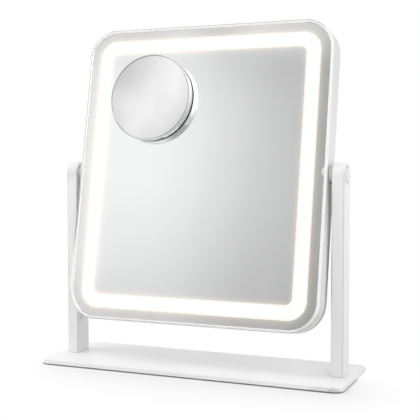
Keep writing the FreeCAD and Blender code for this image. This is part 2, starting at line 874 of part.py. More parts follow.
def magnifier_body():
    """White cup inside the bezel: floor, wall and the pockets that the suction cups sit in."""
    floor_top = puck_gap + puck_floor
    bore = puck_radius - puck_wall
    shell = on_magnifier([(0, puck_gap), (puck_radius, puck_gap), (puck_radius, puck_top), (bore, puck_top),
                          (bore, floor_top), (0, floor_top)])
    pocket_radius = cup_radius + cup_pocket_gap
    roof = puck_gap + cup_pocket_depth + cup_pocket_roof
    pocket_top = puck_gap + cup_pocket_depth
    domes = []
    pockets = []
    for x, z in cup_places():
        wall = pocket_radius + cup_pocket_roof
        domes.append(on_magnifier([(0, puck_gap), (wall, puck_gap), (wall, roof), (0, roof)], x, z))
        pockets.append(on_magnifier([(0, puck_gap), (pocket_radius, puck_gap), (pocket_radius, pocket_top),
                                     (0, pocket_top)], x, z))
    return shell.fuse(domes).removeSplitter().cut(pockets)


def magnifier_bezel():
    """Chrome ring round the cup, a little narrower at its foot, with a ledge inside for the mirror."""
    return on_magnifier([(ledge_bore, puck_gap), (magnifier_radius - bezel_taper, puck_gap),
                         (magnifier_radius, bezel_top - bezel_bevel),
                         (magnifier_radius - bezel_bevel, bezel_top), (bezel_bore, bezel_top),
                         (bezel_bore, ledge_top), (ledge_bore, ledge_top)])


def magnifier_mirror():
    """Concave mirror of even thickness on the ledge of the bezel."""
    curve = (lens_radius ** 2 + lens_sag ** 2) / (2 * lens_sag)
    front_centre = lens_rim - lens_sag
    middle_radius = lens_radius / 2
    middle_drop = curve - math.sqrt(curve ** 2 - middle_radius ** 2)
    foot = Vector(magnifier_x, glass_y, magnifier_z)

    def spot(radius, height):
        return foot + RIGHT * radius - BACK * height

    front_middle = spot(middle_radius, front_centre + middle_drop)
    front = [spot(0, front_centre), front_middle, spot(lens_radius, lens_rim)]
    back = [point + BACK * lens_thickness for point in front]
    edges = [Part.Arc(*front).toShape()]
    edges.append(Part.LineSegment(front[-1], back[-1]).toShape())
    edges.append(Part.Arc(*reversed(back)).toShape())
    edges.append(Part.LineSegment(back[0], front[0]).toShape())
    return Part.Face(Part.Wire(edges)).revolve(foot, BACK, 360)


def suction_cups():
    """Rubber cups in the pockets of the puck, just clear of the pane."""
    top = puck_gap + cup_pocket_depth
    inner_top = top - cup_wall
    section = [(0, top), (cup_top_radius, top), (cup_radius, cup_foot_gap),
               (cup_radius - cup_wall, cup_foot_gap), (cup_top_radius - cup_wall, inner_top), (0, inner_top)]
    return Part.makeCompound([on_magnifier(section, x, z) for x, z in cup_places()])


def all_nodes():
    """Every piece at rest, by name."""
    bracket = pivot_bracket()
    bolt = pivot_bolt()
    spacer = pivot_spacer()
    bush = pivot_bush()
    spring = disc_spring()
    cap = pivot_cap()
    post = right_post()
    insert = post_insert()
    return {
        "base_plate": base_plate(),
        "base_pad": base_pad(),
        "post_right": post,
        "post_left": mirrored(post),
        "post_insert_right": insert,
        "post_insert_left": mirrored(insert),
        "post_screws": post_screws(),
        "pivot_bush_right": raised(bush),
        "pivot_bush_left": raised(mirrored(bush)),
        "pivot_spring_right": raised(spring),
        "pivot_spring_left": raised(mirrored(spring)),
        "pivot_cap_right": raised(cap),
        "pivot_cap_left": raised(mirrored(cap)),
        "front_frame": tilted(front_frame()),
        "mirror_glass": tilted(mirror_glass()),
        "mirror_coating": tilted(mirror_coating()),
        "glass_tape": tilted(glass_tape()),
        "light_diffuser": tilted(light_diffuser()),
        "light_tray": tilted(light_tray()),
        "led_board": tilted(led_board()),
        "led_chips": tilted(led_chips()),
        "led_leads": tilted(led_leads()),
        "back_cover": tilted(back_cover()),
        "cover_screws": tilted(cover_screws()),
        "control_board": tilted(control_board()),
        "board_parts": tilted(board_parts()),
        "board_screws": tilted(board_screws()),
        "socket_shell": tilted(socket_shell()),
        "socket_tongue": tilted(socket_tongue()),
        "switch_body": tilted(switch_body()),
        "pivot_bracket_right": tilted(bracket),
        "pivot_bracket_left": tilted(mirrored(bracket)),
        "pivot_bolt_right": tilted(bolt),
        "pivot_bolt_left": tilted(mirrored(bolt)),
        "pivot_spacer_right": tilted(spacer),
        "pivot_spacer_left": tilted(mirrored(spacer)),
        "power_button": tilted(power_button()),
        "switch_plunger": tilted(switch_plunger()),
        "magnifier_body": tilted(magnifier_body()),
        "magnifier_bezel": tilted(magnifier_bezel()),
        "magnifier_mirror": tilted(magnifier_mirror()),
        "suction_cups": tilted(suction_cups()),
    }


os.makedirs("parts", exist_ok=True)
for name, shape in all_nodes().items():
    shape.exportStep(f"parts/{name}.step")
    print(f"{name}: valid {shape.isValid()}, solids {len(shape.Solids)}, volume {shape.Volume:.1f} mm3")
print(f"pivot height {pivot_z:.3f} mm, base width {base_width:.3f} mm")
print(f"magnifier in the head's frame at x {magnifier_x:.2f} mm, z {magnifier_z:.2f} mm")
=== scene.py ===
import json
import logging
import math
from dataclasses import dataclass, field, replace
from enum import Enum
from functools import reduce
from typing import Any

import bmesh
import bpy
from mathutils import Matrix, Vector


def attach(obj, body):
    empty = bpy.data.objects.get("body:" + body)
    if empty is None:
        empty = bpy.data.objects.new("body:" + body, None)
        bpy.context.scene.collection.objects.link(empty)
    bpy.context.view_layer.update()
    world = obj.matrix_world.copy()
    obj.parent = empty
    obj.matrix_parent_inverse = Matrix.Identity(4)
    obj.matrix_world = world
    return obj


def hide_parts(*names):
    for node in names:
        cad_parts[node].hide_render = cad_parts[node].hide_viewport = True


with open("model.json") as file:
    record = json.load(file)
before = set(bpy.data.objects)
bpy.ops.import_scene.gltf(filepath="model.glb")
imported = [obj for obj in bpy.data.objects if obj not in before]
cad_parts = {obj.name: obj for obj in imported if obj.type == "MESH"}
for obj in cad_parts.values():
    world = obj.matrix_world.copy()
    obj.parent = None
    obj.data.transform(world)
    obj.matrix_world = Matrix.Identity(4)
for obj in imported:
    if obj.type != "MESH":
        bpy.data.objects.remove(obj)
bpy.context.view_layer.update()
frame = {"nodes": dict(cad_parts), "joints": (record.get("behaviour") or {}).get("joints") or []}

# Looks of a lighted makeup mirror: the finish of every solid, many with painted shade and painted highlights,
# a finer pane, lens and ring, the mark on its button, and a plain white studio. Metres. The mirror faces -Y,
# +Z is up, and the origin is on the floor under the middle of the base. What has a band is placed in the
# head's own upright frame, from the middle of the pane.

Point = tuple[float, float, float]
Colour = tuple[float, float, float]
Span = tuple[float, float]
Spot = tuple[float, float, float, float]
Sockets = dict[str | int, Any]
Socket = bpy.types.NodeSocket
Node = bpy.types.Node
Piece = bpy.types.Object

LOG = logging.getLogger("makeup_mirror")
MM = 0.001
NOISE_MIDDLE = 0.5
SHARP_EDGE = math.radians(30.0)

# Axes along which the distance from the middle of a shade counts
ACROSS: Point = (1.0, 0.0, 0.0)
DEPTH: Point = (0.0, 1.0, 0.0)
UPWARD: Point = (0.0, 0.0, 1.0)
UPRIGHT_EDGE: Point = (1.0, 1.0, 0.0)
ON_FACE: Point = (1.0, 0.0, 1.0)
ROUND_PIVOT: Point = (0.0, 1.0, 1.0)


class Body(str, Enum):
    """Bodies of the mirror that move as one."""

    HEAD = "head"
    BUTTON = "button"
    MAGNIFIER = "magnifier"


class Slot(str, Enum):
    """Material slots of the record."""

    BUTTON = "button"
    PANE = "pane"
    TAPE = "tape"
    CHROME = "chrome"
    SILVERING = "silvering"


class Ramp(str, Enum):
    """Ways from one level to another."""

    SMOOTH = "SMOOTHSTEP"
    STRAIGHT = "LINEAR"


class Side(Enum):
    """Sides of the mirror, with their sign along X."""

    LEFT = -1.0
    RIGHT = 1.0

    def of(self, name: str) -> str:
        """Name the one of a pair that is on this side."""
        return f"{name}_{self.name.lower()}"


def joint(name: str) -> dict[str, Any]:
    """Find one joint of the frame by its name."""
    return next(entry for entry in frame["joints"] if entry["name"] == name)


PIVOT: Point = tuple(joint("head_tilt")["pos_m"])
PULL = Vector(joint("magnifier_pull")["axis"])
TILT = math.atan2(PULL.z, -PULL.y)


def grey(level: float) -> Colour:
    """Give a grey of one level."""
    return (level, level, level)


def opaque(colour: Colour) -> tuple[float, float, float, float]:
    """Give a colour its alpha of one."""
    return (*colour, 1.0)


NO_LIGHT = opaque(grey(0.0))
WHITE_LIGHT = opaque(grey(1.0))


class Graph:
    """Short way to place and wire nodes in one node tree."""

    def __init__(self, tree: bpy.types.NodeTree) -> None:
        """Keep the tree that the nodes go into."""
        self.tree = tree

    @classmethod
    def fresh(cls, owner: Any) -> "Graph":
        """Take up the node tree of a material or a world and empty it.

        Args:
            owner: The material or the world.

        Returns:
            A graph on its tree.
        """
        owner.use_nodes = True
        owner.node_tree.nodes.clear()
        return cls(owner.node_tree)

    def node(self, kind: str, inputs: Sockets | None = None, **options: Any) -> Node:
        """Place a node, set its options and set or wire its inputs.

        Args:
            kind: Node type, without the leading "ShaderNode".
            inputs: Value or output socket for each named or numbered input.
            options: Attributes of the node.

        Returns:
            The node.
        """
        placed = self.tree.nodes.new(f"ShaderNode{kind}")
        for name, value in options.items():
            setattr(placed, name, value)
        self.feed(placed, inputs or {})
        return placed

    def feed(self, placed: Node, inputs: Sockets) -> None:
        """Set or wire inputs of a node.

        Args:
            placed: The node.
            inputs: Value or output socket for each named or numbered input.
        """
        for key, value in inputs.items():
            if isinstance(value, Socket):
                self.tree.links.new(value, placed.inputs[key])
            else:
                placed.inputs[key].default_value = value

    def math(self, operation: str, *values: Any, clamp: bool = False) -> Socket:
        """Place a Math node, with its result held between zero and one if asked."""
        return self.node("Math", dict(enumerate(values)), operation=operation, use_clamp=clamp).outputs[0]

    def product(self, *factors: Any) -> Socket:
        """Multiply values."""
        return reduce(lambda whole, factor: self.math("MULTIPLY", whole, factor), factors)

    def step(self, value: Any, start: Any, end: Any, low: float = 0.0, high: float = 1.0,
             ramp: Ramp = Ramp.SMOOTH) -> Socket:
        """Place a step from the low level, held up to the start, to the high one, held from the end on."""
        inputs = {"Value": value, "From Min": start, "From Max": end, "To Min": low, "To Max": high}
        return self.node("MapRange", inputs, interpolation_type=ramp.value).outputs[0]

    def mix(self, share: Any, first: Any, second: Any) -> Socket:
        """Mix two colours by the share of the second."""
        return self.node("Mix", {0: share, 6: first, 7: second}, data_type="RGBA").outputs[2]

    def scale(self, colour: Any, gain: Any) -> Socket:
        """Multiply a colour by one value."""
        return self.node("VectorMath", {0: colour, "Scale": gain}, operation="SCALE").outputs[0]

    def vector(self, operation: str, first: Any, second: Any) -> Socket:
        """Place a Vector Math node whose result is a vector."""
        return self.node("VectorMath", {0: first, 1: second}, operation=operation).outputs[0]

    def reach(self, place: Any, point: Any) -> Socket:
        """Wire the distance from a point."""
        return self.node("VectorMath", {0: place, 1: point}, operation="DISTANCE").outputs["Value"]

    def parts(self, vector: Any) -> Any:
        """Give the three sockets of a vector."""
        return self.node("SeparateXYZ", {0: vector}).outputs

    def place(self) -> Socket:
        """Give the place on the piece, which stays with it when it moves."""
        return self.node("TexCoord").outputs["Object"]

    def noise(self, place: Any, scale: Any, detail: float) -> Socket:
        """Place a noise with a scale per metre and a number of finer layers."""
        return self.node("TexNoise", {"Vector": place, "Scale": scale, "Detail": detail}).outputs[0]

    def group(self, effect: "Effect", inputs: Sockets) -> Node:
        """Place the node group of an effect."""
        return self.node("Group", inputs, node_tree=effect.tree())

    def surface(self, shader: Node) -> None:
        """Make a shader the surface of the material."""
        self.node("OutputMaterial", {"Surface": shader.outputs[0]})


class Effect:
    """A surface effect that several finishes share, kept as a node group with named sockets."""

    name: str
    inputs: dict[str, str]
    outputs: dict[str, str]

    def tree(self) -> bpy.types.NodeTree:
        """Build the group once, and give it again when asked.

        Returns:
            The group's tree.
        """
        found = bpy.data.node_groups.get(self.name)
        if found:
            return found
        made = bpy.data.node_groups.new(self.name, "ShaderNodeTree")
        for in_out, sockets in (("INPUT", self.inputs), ("OUTPUT", self.outputs)):
            for name, kind in sockets.items():
                made.interface.new_socket(name, in_out=in_out, socket_type=f"NodeSocket{kind}")
        given = made.nodes.new("NodeGroupInput").outputs
        result = made.nodes.new("NodeGroupOutput").inputs
        for name, socket in self.wire(Graph(made), given).items():
            made.links.new(socket, result[name])
        return made

    def wire(self, graph: Graph, given: Any) -> dict[str, Socket]:
        """Fill the group; each effect has its own way."""
        raise NotImplementedError


class SurfaceGrain(Effect):
    """Fine moulded or sprayed grain with a soft mottle in colour and gloss."""

    name = "Surface Grain"
    inputs = {"Position": "Vector", "Colour": "Color", "Mottle": "Float", "Roughness": "Float",
              "Spread": "Float", "Grain Scale": "Float", "Mottle Scale": "Float"}
    outputs = {"Colour": "Color", "Roughness": "Float", "Height": "Float"}
    fine_layers = 2.0
    broad_layers = 3.0

    def wire(self, graph: Graph, given: Any) -> dict[str, Socket]:
        """Wire two noises, a fine one for the height and a broad one for the mottle.

        Args:
            graph: Graph of the group.
            given: Inputs of the group.

        Returns:
            The socket of each output.
        """
        fine = graph.noise(given["Position"], given["Grain Scale"], self.fine_layers)
        broad = graph.noise(given["Position"], given["Mottle Scale"], self.broad_layers)
        swing = graph.math("SUBTRACT", broad, NOISE_MIDDLE)
        gain = graph.math("MULTIPLY_ADD", swing, given["Mottle"], 1.0)
        swing = graph.math("SUBTRACT", graph.math("ADD", broad, fine), 2 * NOISE_MIDDLE)
        rough = graph.math("ADD", given["Roughness"], graph.product(swing, given["Spread"]), clamp=True)
        return {"Colour": graph.scale(given["Colour"], gain), "Roughness": rough, "Height": fine}


class BrushedLines(Effect):
    """Fine lines or grain left by a brush, a mould or a lathe."""

    name = "Brushed Lines"
    inputs = {"Position": "Vector", "Colour": "Color", "Contrast": "Float", "Roughness": "Float",
              "Spread": "Float", "Line Scale": "Vector"}
    outputs = {"Colour": "Color", "Roughness": "Float", "Height": "Float"}
    layers = 3.0

    def wire(self, graph: Graph, given: Any) -> dict[str, Socket]:
        """Wire a noise with a scale of its own along each axis.

        Args:
            graph: Graph of the group.
            given: Inputs of the group.

        Returns:
            The socket of each output.
        """
        stretched = graph.vector("MULTIPLY", given["Position"], given["Line Scale"])
        lines = graph.noise(stretched, 1.0, self.layers)
        swing = graph.math("SUBTRACT", lines, NOISE_MIDDLE)
        gain = graph.math("MULTIPLY_ADD", swing, given["Contrast"], 1.0)
        rough = graph.math("ADD", given["Roughness"], graph.product(swing, given["Spread"]), clamp=True)
        return {"Colour": graph.scale(given["Colour"], gain), "Roughness": rough, "Height": lines}


class HeadPlace(Effect):
    """Place on the head in the head's own upright frame, with the middle of the pane as its origin."""

    name = "Head Place"
    inputs = {"Position": "Vector", "Middle": "Float"}
    outputs = {"Position": "Vector"}

    def wire(self, graph: Graph, given: Any) -> dict[str, Socket]:
        """Wire a turn about the tilt axis and a shift to the middle of the pane.

        Args:
            graph: Graph of the group.
            given: Inputs of the group.

        Returns:
            The socket of each output.
        """
        turn = {"Vector": given["Position"], "Center": PIVOT, "Angle": TILT}
        turned = graph.node("VectorRotate", turn, rotation_type="X_AXIS").outputs[0]
        across, back, up = graph.parts(graph.vector("SUBTRACT", turned, PIVOT))
        level = {0: across, 1: back, 2: graph.math("SUBTRACT", up, given["Middle"])}
        return {"Position": graph.node("CombineXYZ", level).outputs[0]}


class OutlineDistance(Effect):
    """Signed distance from a rounded rectangle, negative inside it."""

    name = "Outline Distance"
    inputs = {"Position": "Vector", "Half Width": "Float", "Half Height": "Float", "Radius": "Float"}
    outputs = {"Distance": "Float"}

    def wire(self, graph: Graph, given: Any) -> dict[str, Socket]:
        """Wire the distance from the corner's centre and from the straight sides.

        Args:
            graph: Graph of the group.
            given: Inputs of the group.

        Returns:
            The socket of each output.
        """
        parts = graph.parts(given["Position"])
        beyond = []
        for part, half in ((parts[0], "Half Width"), (parts[2], "Half Height")):
            straight = graph.math("SUBTRACT", given[half], given["Radius"])
            beyond.append(graph.math("SUBTRACT", graph.math("ABSOLUTE", part), straight))
        squares = (graph.math("POWER", graph.math("MAXIMUM", value, 0.0), 2.0) for value in beyond)
        corner = graph.math("SQRT", graph.math("ADD", *squares))
        inside = graph.math("MINIMUM", graph.math("MAXIMUM", *beyond), 0.0)
        reach = graph.math("ADD", corner, inside)
        return {"Distance": graph.math("SUBTRACT", reach, given["Radius"])}


class EdgeGlow(Effect):
    """Glow that fades with the distance from an edge."""

    name = "Edge Glow"
    inputs = {"Distance": "Float", "Reach": "Float", "Colour": "Color", "Far Colour": "Color"}
    outputs = {"Colour": "Color"}

    def wire(self, graph: Graph, given: Any) -> dict[str, Socket]:
        """Wire an exponential fade and the colour that it gives.

        Args:
            graph: Graph of the group.
            given: Inputs of the group.

        Returns:
            The socket of each output.
        """
        ratio = graph.math("DIVIDE", given["Distance"], given["Reach"])
        share = graph.math("EXPONENT", graph.product(ratio, -1.0))
        return {"Colour": graph.mix(share, given["Far Colour"], given["Colour"])}


class PaintedShadeLine(Effect):
    """Soft line of painted shade at a set distance from a point, an axis or a plane."""

    name = "Painted Shade Line"
    inputs = {"Position": "Vector", "Centre": "Vector", "Axes": "Vector", "Radius": "Float",
              "Width": "Float"}
    outputs = {"Share": "Float"}
    core = 0.4

    def wire(self, graph: Graph, given: Any) -> dict[str, Socket]:
        """Wire the distance along the chosen axes and a soft step on both sides of the line.

        Args:
            graph: Graph of the group.
            given: Inputs of the group.

        Returns:
            The socket of each output.
        """
        offset = graph.vector("SUBTRACT", given["Position"], given["Centre"])
        reach = graph.reach(graph.vector("MULTIPLY", offset, given["Axes"]), (0.0, 0.0, 0.0))
        distance = graph.math("ABSOLUTE", graph.math("SUBTRACT", reach, given["Radius"]))
        return {"Share": graph.step(distance, given["Width"], graph.product(given["Width"], self.core))}


GRAIN = SurfaceGrain()
LINES = BrushedLines()
HEAD_PLACE = HeadPlace()
OUTLINE = OutlineDistance()
GLOW = EdgeGlow()
PAINTED_SHADE_LINE = PaintedShadeLine()


def outline_distance(graph: Graph, place: Socket, size: Point) -> Socket:
    """Wire the signed distance from a rounded rectangle.

    Args:
        graph: Graph of the material.
        place: Place from its middle, across in X and up in Z.
        size: Its width, its height and the radius of its corners.

    Returns:
        The distance, negative inside it.
    """
    width, height, radius = size
    inputs = {"Position": place, "Half Width": width / 2, "Half Height": height / 2, "Radius": radius}
    return graph.group(OUTLINE, inputs).outputs[0]


@dataclass(frozen=True)
class BandOutline:
    """Outer and inner outline of the clear band, and the height of the pane's middle over the pivot."""

    outer: Point
    inner: Point
    middle: float

    def level(self, graph: Graph, place: Socket) -> Socket:
        """Wire the place in the head's own frame, from the middle of the pane."""
        return graph.group(HEAD_PLACE, {"Position": place, "Middle": self.middle}).outputs[0]

    def edges(self, graph: Graph, place: Socket) -> list[Socket]:
        """Wire the signed distances to the outer and to the inner edge, negative inside each."""
        level = self.level(graph, place)
        return [outline_distance(graph, level, size) for size in (self.outer, self.inner)]

    def nearest(self, graph: Graph, place: Socket) -> Socket:
        """Wire the distance to the nearest edge, never negative."""
        return graph.math("MINIMUM", *(graph.math("ABSOLUTE", edge) for edge in self.edges(graph, place)))

    def glow(self, graph: Graph, reach: float, near: Colour, far: Colour) -> Socket:
        """Wire a glow that goes over from one colour on the edges to another far from them."""
        inputs = {"Distance": self.nearest(graph, graph.place()), "Reach": reach,
                  "Colour": opaque(near), "Far Colour": opaque(far)}
        return graph.group(GLOW, inputs).outputs[0]


@dataclass(frozen=True)
class PaintedShade:
    """A soft line or spot of painted light: a painted contact shadow at a joint, painted shade on an edge, or
    a painted highlight.
    """

    centre: Point
    axes: Point
    shade: float
    width: float
    radius: float = 0.0
    band: BandOutline | None = None

    def share(self, graph: Graph, place: Socket) -> Socket:
        """Wire where the line is: one on it and zero away from it."""
        inputs = {"Position": self.band.level(graph, place) if self.band else place, "Centre": self.centre,
                  "Axes": self.axes, "Radius": self.radius, "Width": self.width}
        return graph.group(PAINTED_SHADE_LINE, inputs).outputs[0]

    def gain(self, graph: Graph, place: Socket) -> Socket:
        """Wire what is left of the colour: all of it away from the line, and the line's shade on it."""
        return graph.math("MULTIPLY_ADD", self.share(graph, place), self.shade - 1.0, 1.0)


@dataclass(frozen=True)
class Finish:
    """What every finish has: a name, and a material that is made once."""

    name: str

    def material(self) -> bpy.types.Material:
        """Make the material, or give it again when it is there.

        Returns:
            The material.
        """
        found = bpy.data.materials.get(self.name)
        if found:
            return found
        made = bpy.data.materials.new(self.name)
        graph = Graph.fresh(made)
        graph.surface(self.shade(graph))
        return made

    def shade(self, graph: Graph) -> Node:
        """Make the shader; each finish has its own way."""
        raise NotImplementedError


@dataclass(frozen=True)
class Textured(Finish):
    """Finish with a fine texture and a colour with painted shade and painted highlights along its lines and
    spots.
    """

    colour: Colour
    roughness: float
    spread: float
    painted_shades: tuple[PaintedShade, ...] = field(default=(), kw_only=True)

    def tint(self, graph: Graph, place: Socket) -> Any:
        """Give the colour, or the socket of one with the painted shade and highlights of its lines and spots.
        """
        gains = [painted_shade.gain(graph, place) for painted_shade in self.painted_shades]
        return graph.scale(self.colour, graph.product(*gains)) if gains else opaque(self.colour)

    def textured(self, graph: Graph, effect: Effect, inputs: Sockets, looks: Sockets, depth: float) -> Node:
        """Feed the colour, the gloss and the height of a texture to a shader.

        Args:
            graph: Graph of the material.
            effect: The texture.
            inputs: What the texture takes besides its place, its colour and its gloss.
            looks: What the shader takes besides them.
            depth: Depth of the bumps, zero for none.

        Returns:
            The shader.
        """
        place = graph.place()
        made = graph.group(effect, {
            "Position": place, "Colour": self.tint(graph, place), "Roughness": self.roughness,
            "Spread": self.spread, **inputs}).outputs
        shader = graph.node("BsdfPrincipled", {
            "Base Color": made["Colour"], "Roughness": made["Roughness"], **looks})
        if depth:
            bump = graph.node("Bump", {"Height": made["Height"], "Distance": depth, "Strength": 1.0})
            graph.feed(shader, {"Normal": bump.outputs[0]})
        return shader


@dataclass(frozen=True)
class Grained(Textured):
    """Paint, plastic, rubber or foam: one colour with a fine grain."""

    grain: float
    depth: float
    mottle: float
    mottle_size: float = 40 * MM
    coat: float = 0.0
    glow: Colour = grey(0.0)

    def shade(self, graph: Graph) -> Node:
        """Feed the grain to a shader."""
        grain = {"Mottle": self.mottle, "Grain Scale": 1 / self.grain, "Mottle Scale": 1 / self.mottle_size}
        return self.textured(graph, GRAIN, grain, self.looks(), self.depth)

    def looks(self) -> Sockets:
        """Give what the shader has besides the grain."""
        return {"Coat Weight": self.coat, "Emission Color": opaque(self.glow), "Emission Strength": 1.0}


@dataclass(frozen=True)
class Metal(Textured):
    """Bare or plated metal with fine lines."""

    contrast: float
    lines: Point = (4000.0, 200.0, 200.0)
    depth: float = 0.002 * MM

    def shade(self, graph: Graph) -> Node:
        """Feed the lines to a metal shader."""
        lines = {"Contrast": self.contrast, "Line Scale": self.lines}
        return self.textured(graph, LINES, lines, {"Metallic": 1.0}, self.depth)


@dataclass(frozen=True)
class ClearGlass(Finish):
    """Polished pane."""

    colour: Colour
    index: float = 1.5

    def shade(self, graph: Graph) -> Node:
        """Make a plain clear shader."""
        return graph.node("BsdfPrincipled", {"Base Color": opaque(self.colour), "Roughness": 0.0,
                                             "IOR": self.index, "Transmission Weight": 1.0})


@dataclass(frozen=True)
class Lipped(Grained):
    """Moulded frame whose front lip is painted paler, a painted highlight, with painted shade on the right
    tab and the outer edge and a painted glow on the tabs' backs.
    """

    band: BandOutline = field(kw_only=True)
    outline: Point = field(kw_only=True)
    # paler colour of the front lip, a painted highlight
    lip: Colour = (0.95, 0.945, 0.935)
    lip_depths: Span = (-10.2 * MM, -11.2 * MM)
    # painted shade on the right tab
    tab: PaintedShade = PaintedShade((126.2 * MM, 0.0, 1.0 * MM), ON_FACE, shade=0.5, width=14 * MM)
    tab_heights: Span = (6.6 * MM, -4.6 * MM)
    tab_end: float = 123.1 * MM
    # painted glow on the backs of the tabs
    tab_back: PaintedShade = PaintedShade((0.0, -11.0 * MM, 0.0), DEPTH, shade=1.0, width=0.05 * MM)
    back_glow: Colour = (0.85, 0.84, 0.82)
    # painted shade on the rim's outer edge
    edge_insets: Span = (-2.0 * MM, -0.9 * MM)
    edge_depths: Span = (-10.0 * MM, -10.8 * MM)
    edge_heights: Span = (105 * MM, 125 * MM)
    edge_ends: Span = (122 * MM, 108 * MM)
    edge_shades: Span = (0.74, 0.6)
    edge_change: Span = (-100 * MM, 100 * MM)

    def shade(self, graph: Graph) -> Node:
        """Add a painted glow on the backs of the tabs, standing in for the band's light through the pane.

        Args:
            graph: Graph of the material.

        Returns:
            The shader.
        """
        shader = super().shade(graph)
        back = self.tab_back.share(graph, self.band.level(graph, graph.place()))
        graph.feed(shader, {"Emission Color": graph.mix(back, NO_LIGHT, opaque(self.back_glow))})
        return shader

    def tab_gain(self, graph: Graph, place: Socket) -> Socket:
        """Wire the painted shade of the half-round tab beside the right pivot, pale above and grey below.

        Args:
            graph: Graph of the material.
            place: Place in the head's frame.

        Returns:
            What is left of the colour at each place.
        """
        across, _, up = graph.parts(place)
        within = graph.product(self.tab.share(graph, place), graph.math("LESS_THAN", across, self.tab_end))
        loss = graph.step(up, *self.tab_heights, 0.0, self.tab.shade - 1.0, Ramp.STRAIGHT)
        return graph.math("MULTIPLY_ADD", within, loss, 1.0)

    def edge_gain(self, graph: Graph, place: Socket) -> Socket:
        """Wire the painted shade on the outer edge of the rim along the top and the bottom.

        Args:
            graph: Graph of the material.
            place: Place in the head's frame.

        Returns:
            What is left of the colour at each place.
        """
        across, back, up = graph.parts(place)
        share = graph.product(graph.step(outline_distance(graph, place, self.outline), *self.edge_insets),
                              graph.step(back, *self.edge_depths),
                              graph.step(graph.math("ABSOLUTE", up), *self.edge_heights),
                              graph.step(across, *self.edge_ends))
        losses = (shade - 1.0 for shade in self.edge_shades)
        loss = graph.step(up, *self.edge_change, *losses, Ramp.STRAIGHT)
        return graph.math("MULTIPLY_ADD", share, loss, 1.0)

    def tint(self, graph: Graph, place: Socket) -> Socket:
        """Mix the lip's painted highlight in towards the front and add the painted shade of the tab, the
        outer edge and the other lines and spots.

        Args:
            graph: Graph of the material.
            place: Place on the frame.

        Returns:
            The socket of the colour.
        """
        level = self.band.level(graph, place)
        front = graph.step(graph.parts(level)[1], *self.lip_depths)
        gain = graph.product(self.tab_gain(graph, level), self.edge_gain(graph, level),
                             *(painted_shade.gain(graph, place) for painted_shade in self.painted_shades))
        return graph.scale(graph.mix(front, opaque(self.colour), opaque(self.lip)), gain)


@dataclass(frozen=True)
class Silvering(Grained):
    """Reflective coating, faintly smeared."""

    roughness: float = 0.012
    spread: float = 0.01
    grain: float = 9 * MM
    depth: float = 0.0
    mottle: float = 0.01
    mottle_size: float = 60 * MM

    def looks(self) -> Sockets:
        """Make the shader a metal's."""
        return {"Metallic": 1.0}


@dataclass(frozen=True)
class PaneSilver(Silvering):
    """Reflective coating of the pane, with a painted warm glow along the band's cut edges."""

    band: BandOutline = field(kw_only=True)
    border: Colour = (0.86, 0.85, 0.835)
    # painted glow along the band's cut edges
    glow: Colour = (1.0, 0.77, 0.47)
    glow_reach: float = 1.9 * MM
    glow_level: float = 0.22

    def tint(self, graph: Graph, place: Socket) -> Socket:
        """Give the border outside the band a colour of its own."""
        outside = graph.math("GREATER_THAN", self.band.edges(graph, place)[0], 0.0)
        return graph.mix(outside, opaque(self.colour), opaque(self.border))

    def shade(self, graph: Graph) -> Node:
        """Add the painted glow to the silver.

        Args:
            graph: Graph of the material.

        Returns:
            The shader.
        """
        shader = super().shade(graph)
        glow = self.band.glow(graph, self.glow_reach, self.glow, grey(0.0))
        graph.feed(shader, {"Emission Color": glow, "Emission Strength": self.glow_level})
        return shader


@dataclass(frozen=True)
class LitOpal(Finish):
    """Opal plastic lit from behind, white in the middle of the band and warm along its edges."""

    colour: Colour
    level: float
    band: BandOutline
    fringe: Colour = (0.8, 0.66, 0.48)
    fringe_reach: float = 0.55 * MM
    unlit: Colour = (0.55, 0.545, 0.53)
    roughness: float = 0.5

    def shade(self, graph: Graph) -> Node:
        """Feed the glow of the fringe to a plain shader."""
        glow = self.band.glow(graph, self.fringe_reach, self.fringe, self.colour)
        return graph.node("BsdfPrincipled", {
            "Base Color": opaque(self.unlit), "Roughness": self.roughness,
            "Emission Color": glow, "Emission Strength": self.level})


# Grained finishes: name, colour, roughness and its spread, size and depth of the grain, mottle
WHITE_PAINT = Grained("powder_coat_white", grey(0.875), 0.42, 0.06, 0.7 * MM, 0.012 * MM, 0.015)
FRAME_WHITE = Grained("moulded_white_satin", grey(0.78), 0.36, 0.05, 0.35 * MM, 0.004 * MM, 0.012)
COVER_WHITE = Grained("moulded_white_grained", grey(0.865), 0.55, 0.08, 0.45 * MM, 0.03 * MM, 0.02)
PUCK_WHITE = Grained("moulded_white_gloss", grey(0.9), 0.25, 0.04, 0.35 * MM, 0.002 * MM, 0.01)
# the spacer's grey is darker than the frame's white, as painted shade for the gap it sits in
SPACER_SHADED_WHITE = Grained("moulded_white_spacer_shaded", grey(0.7), 0.4, 0.05, 0.35 * MM, 0.004 * MM, 0.012)
BUTTON_GREY = Grained("button_pearl_grey", (0.7, 0.71, 0.72), 0.22, 0.04, 0.3 * MM, 0.002 * MM, 0.01,
                      coat=0.4)
MARK_GREY = Grained("printed_mark_grey", (0.16, 0.17, 0.18), 0.5, 0.05, 0.15 * MM, 0.004 * MM, 0.05)
PAD_BLACK = Grained("foam_rubber_dark", (0.045, 0.045, 0.048), 0.85, 0.1, 0.5 * MM, 0.06 * MM, 0.2)
NYLON = Grained("bush_nylon", (0.78, 0.77, 0.73), 0.45, 0.05, 0.4 * MM, 0.005 * MM, 0.02)
TAPE = Grained("foam_tape", (0.78, 0.78, 0.75), 0.8, 0.1, 0.4 * MM, 0.03 * MM, 0.04)
TRAY_WHITE = Grained("reflector_white", (0.88, 0.88, 0.87), 0.5, 0.05, 0.4 * MM, 0.006 * MM, 0.01)
BOARD_WHITE = Grained("board_white_mask", (0.84, 0.85, 0.84), 0.35, 0.06, 0.3 * MM, 0.004 * MM, 0.02)
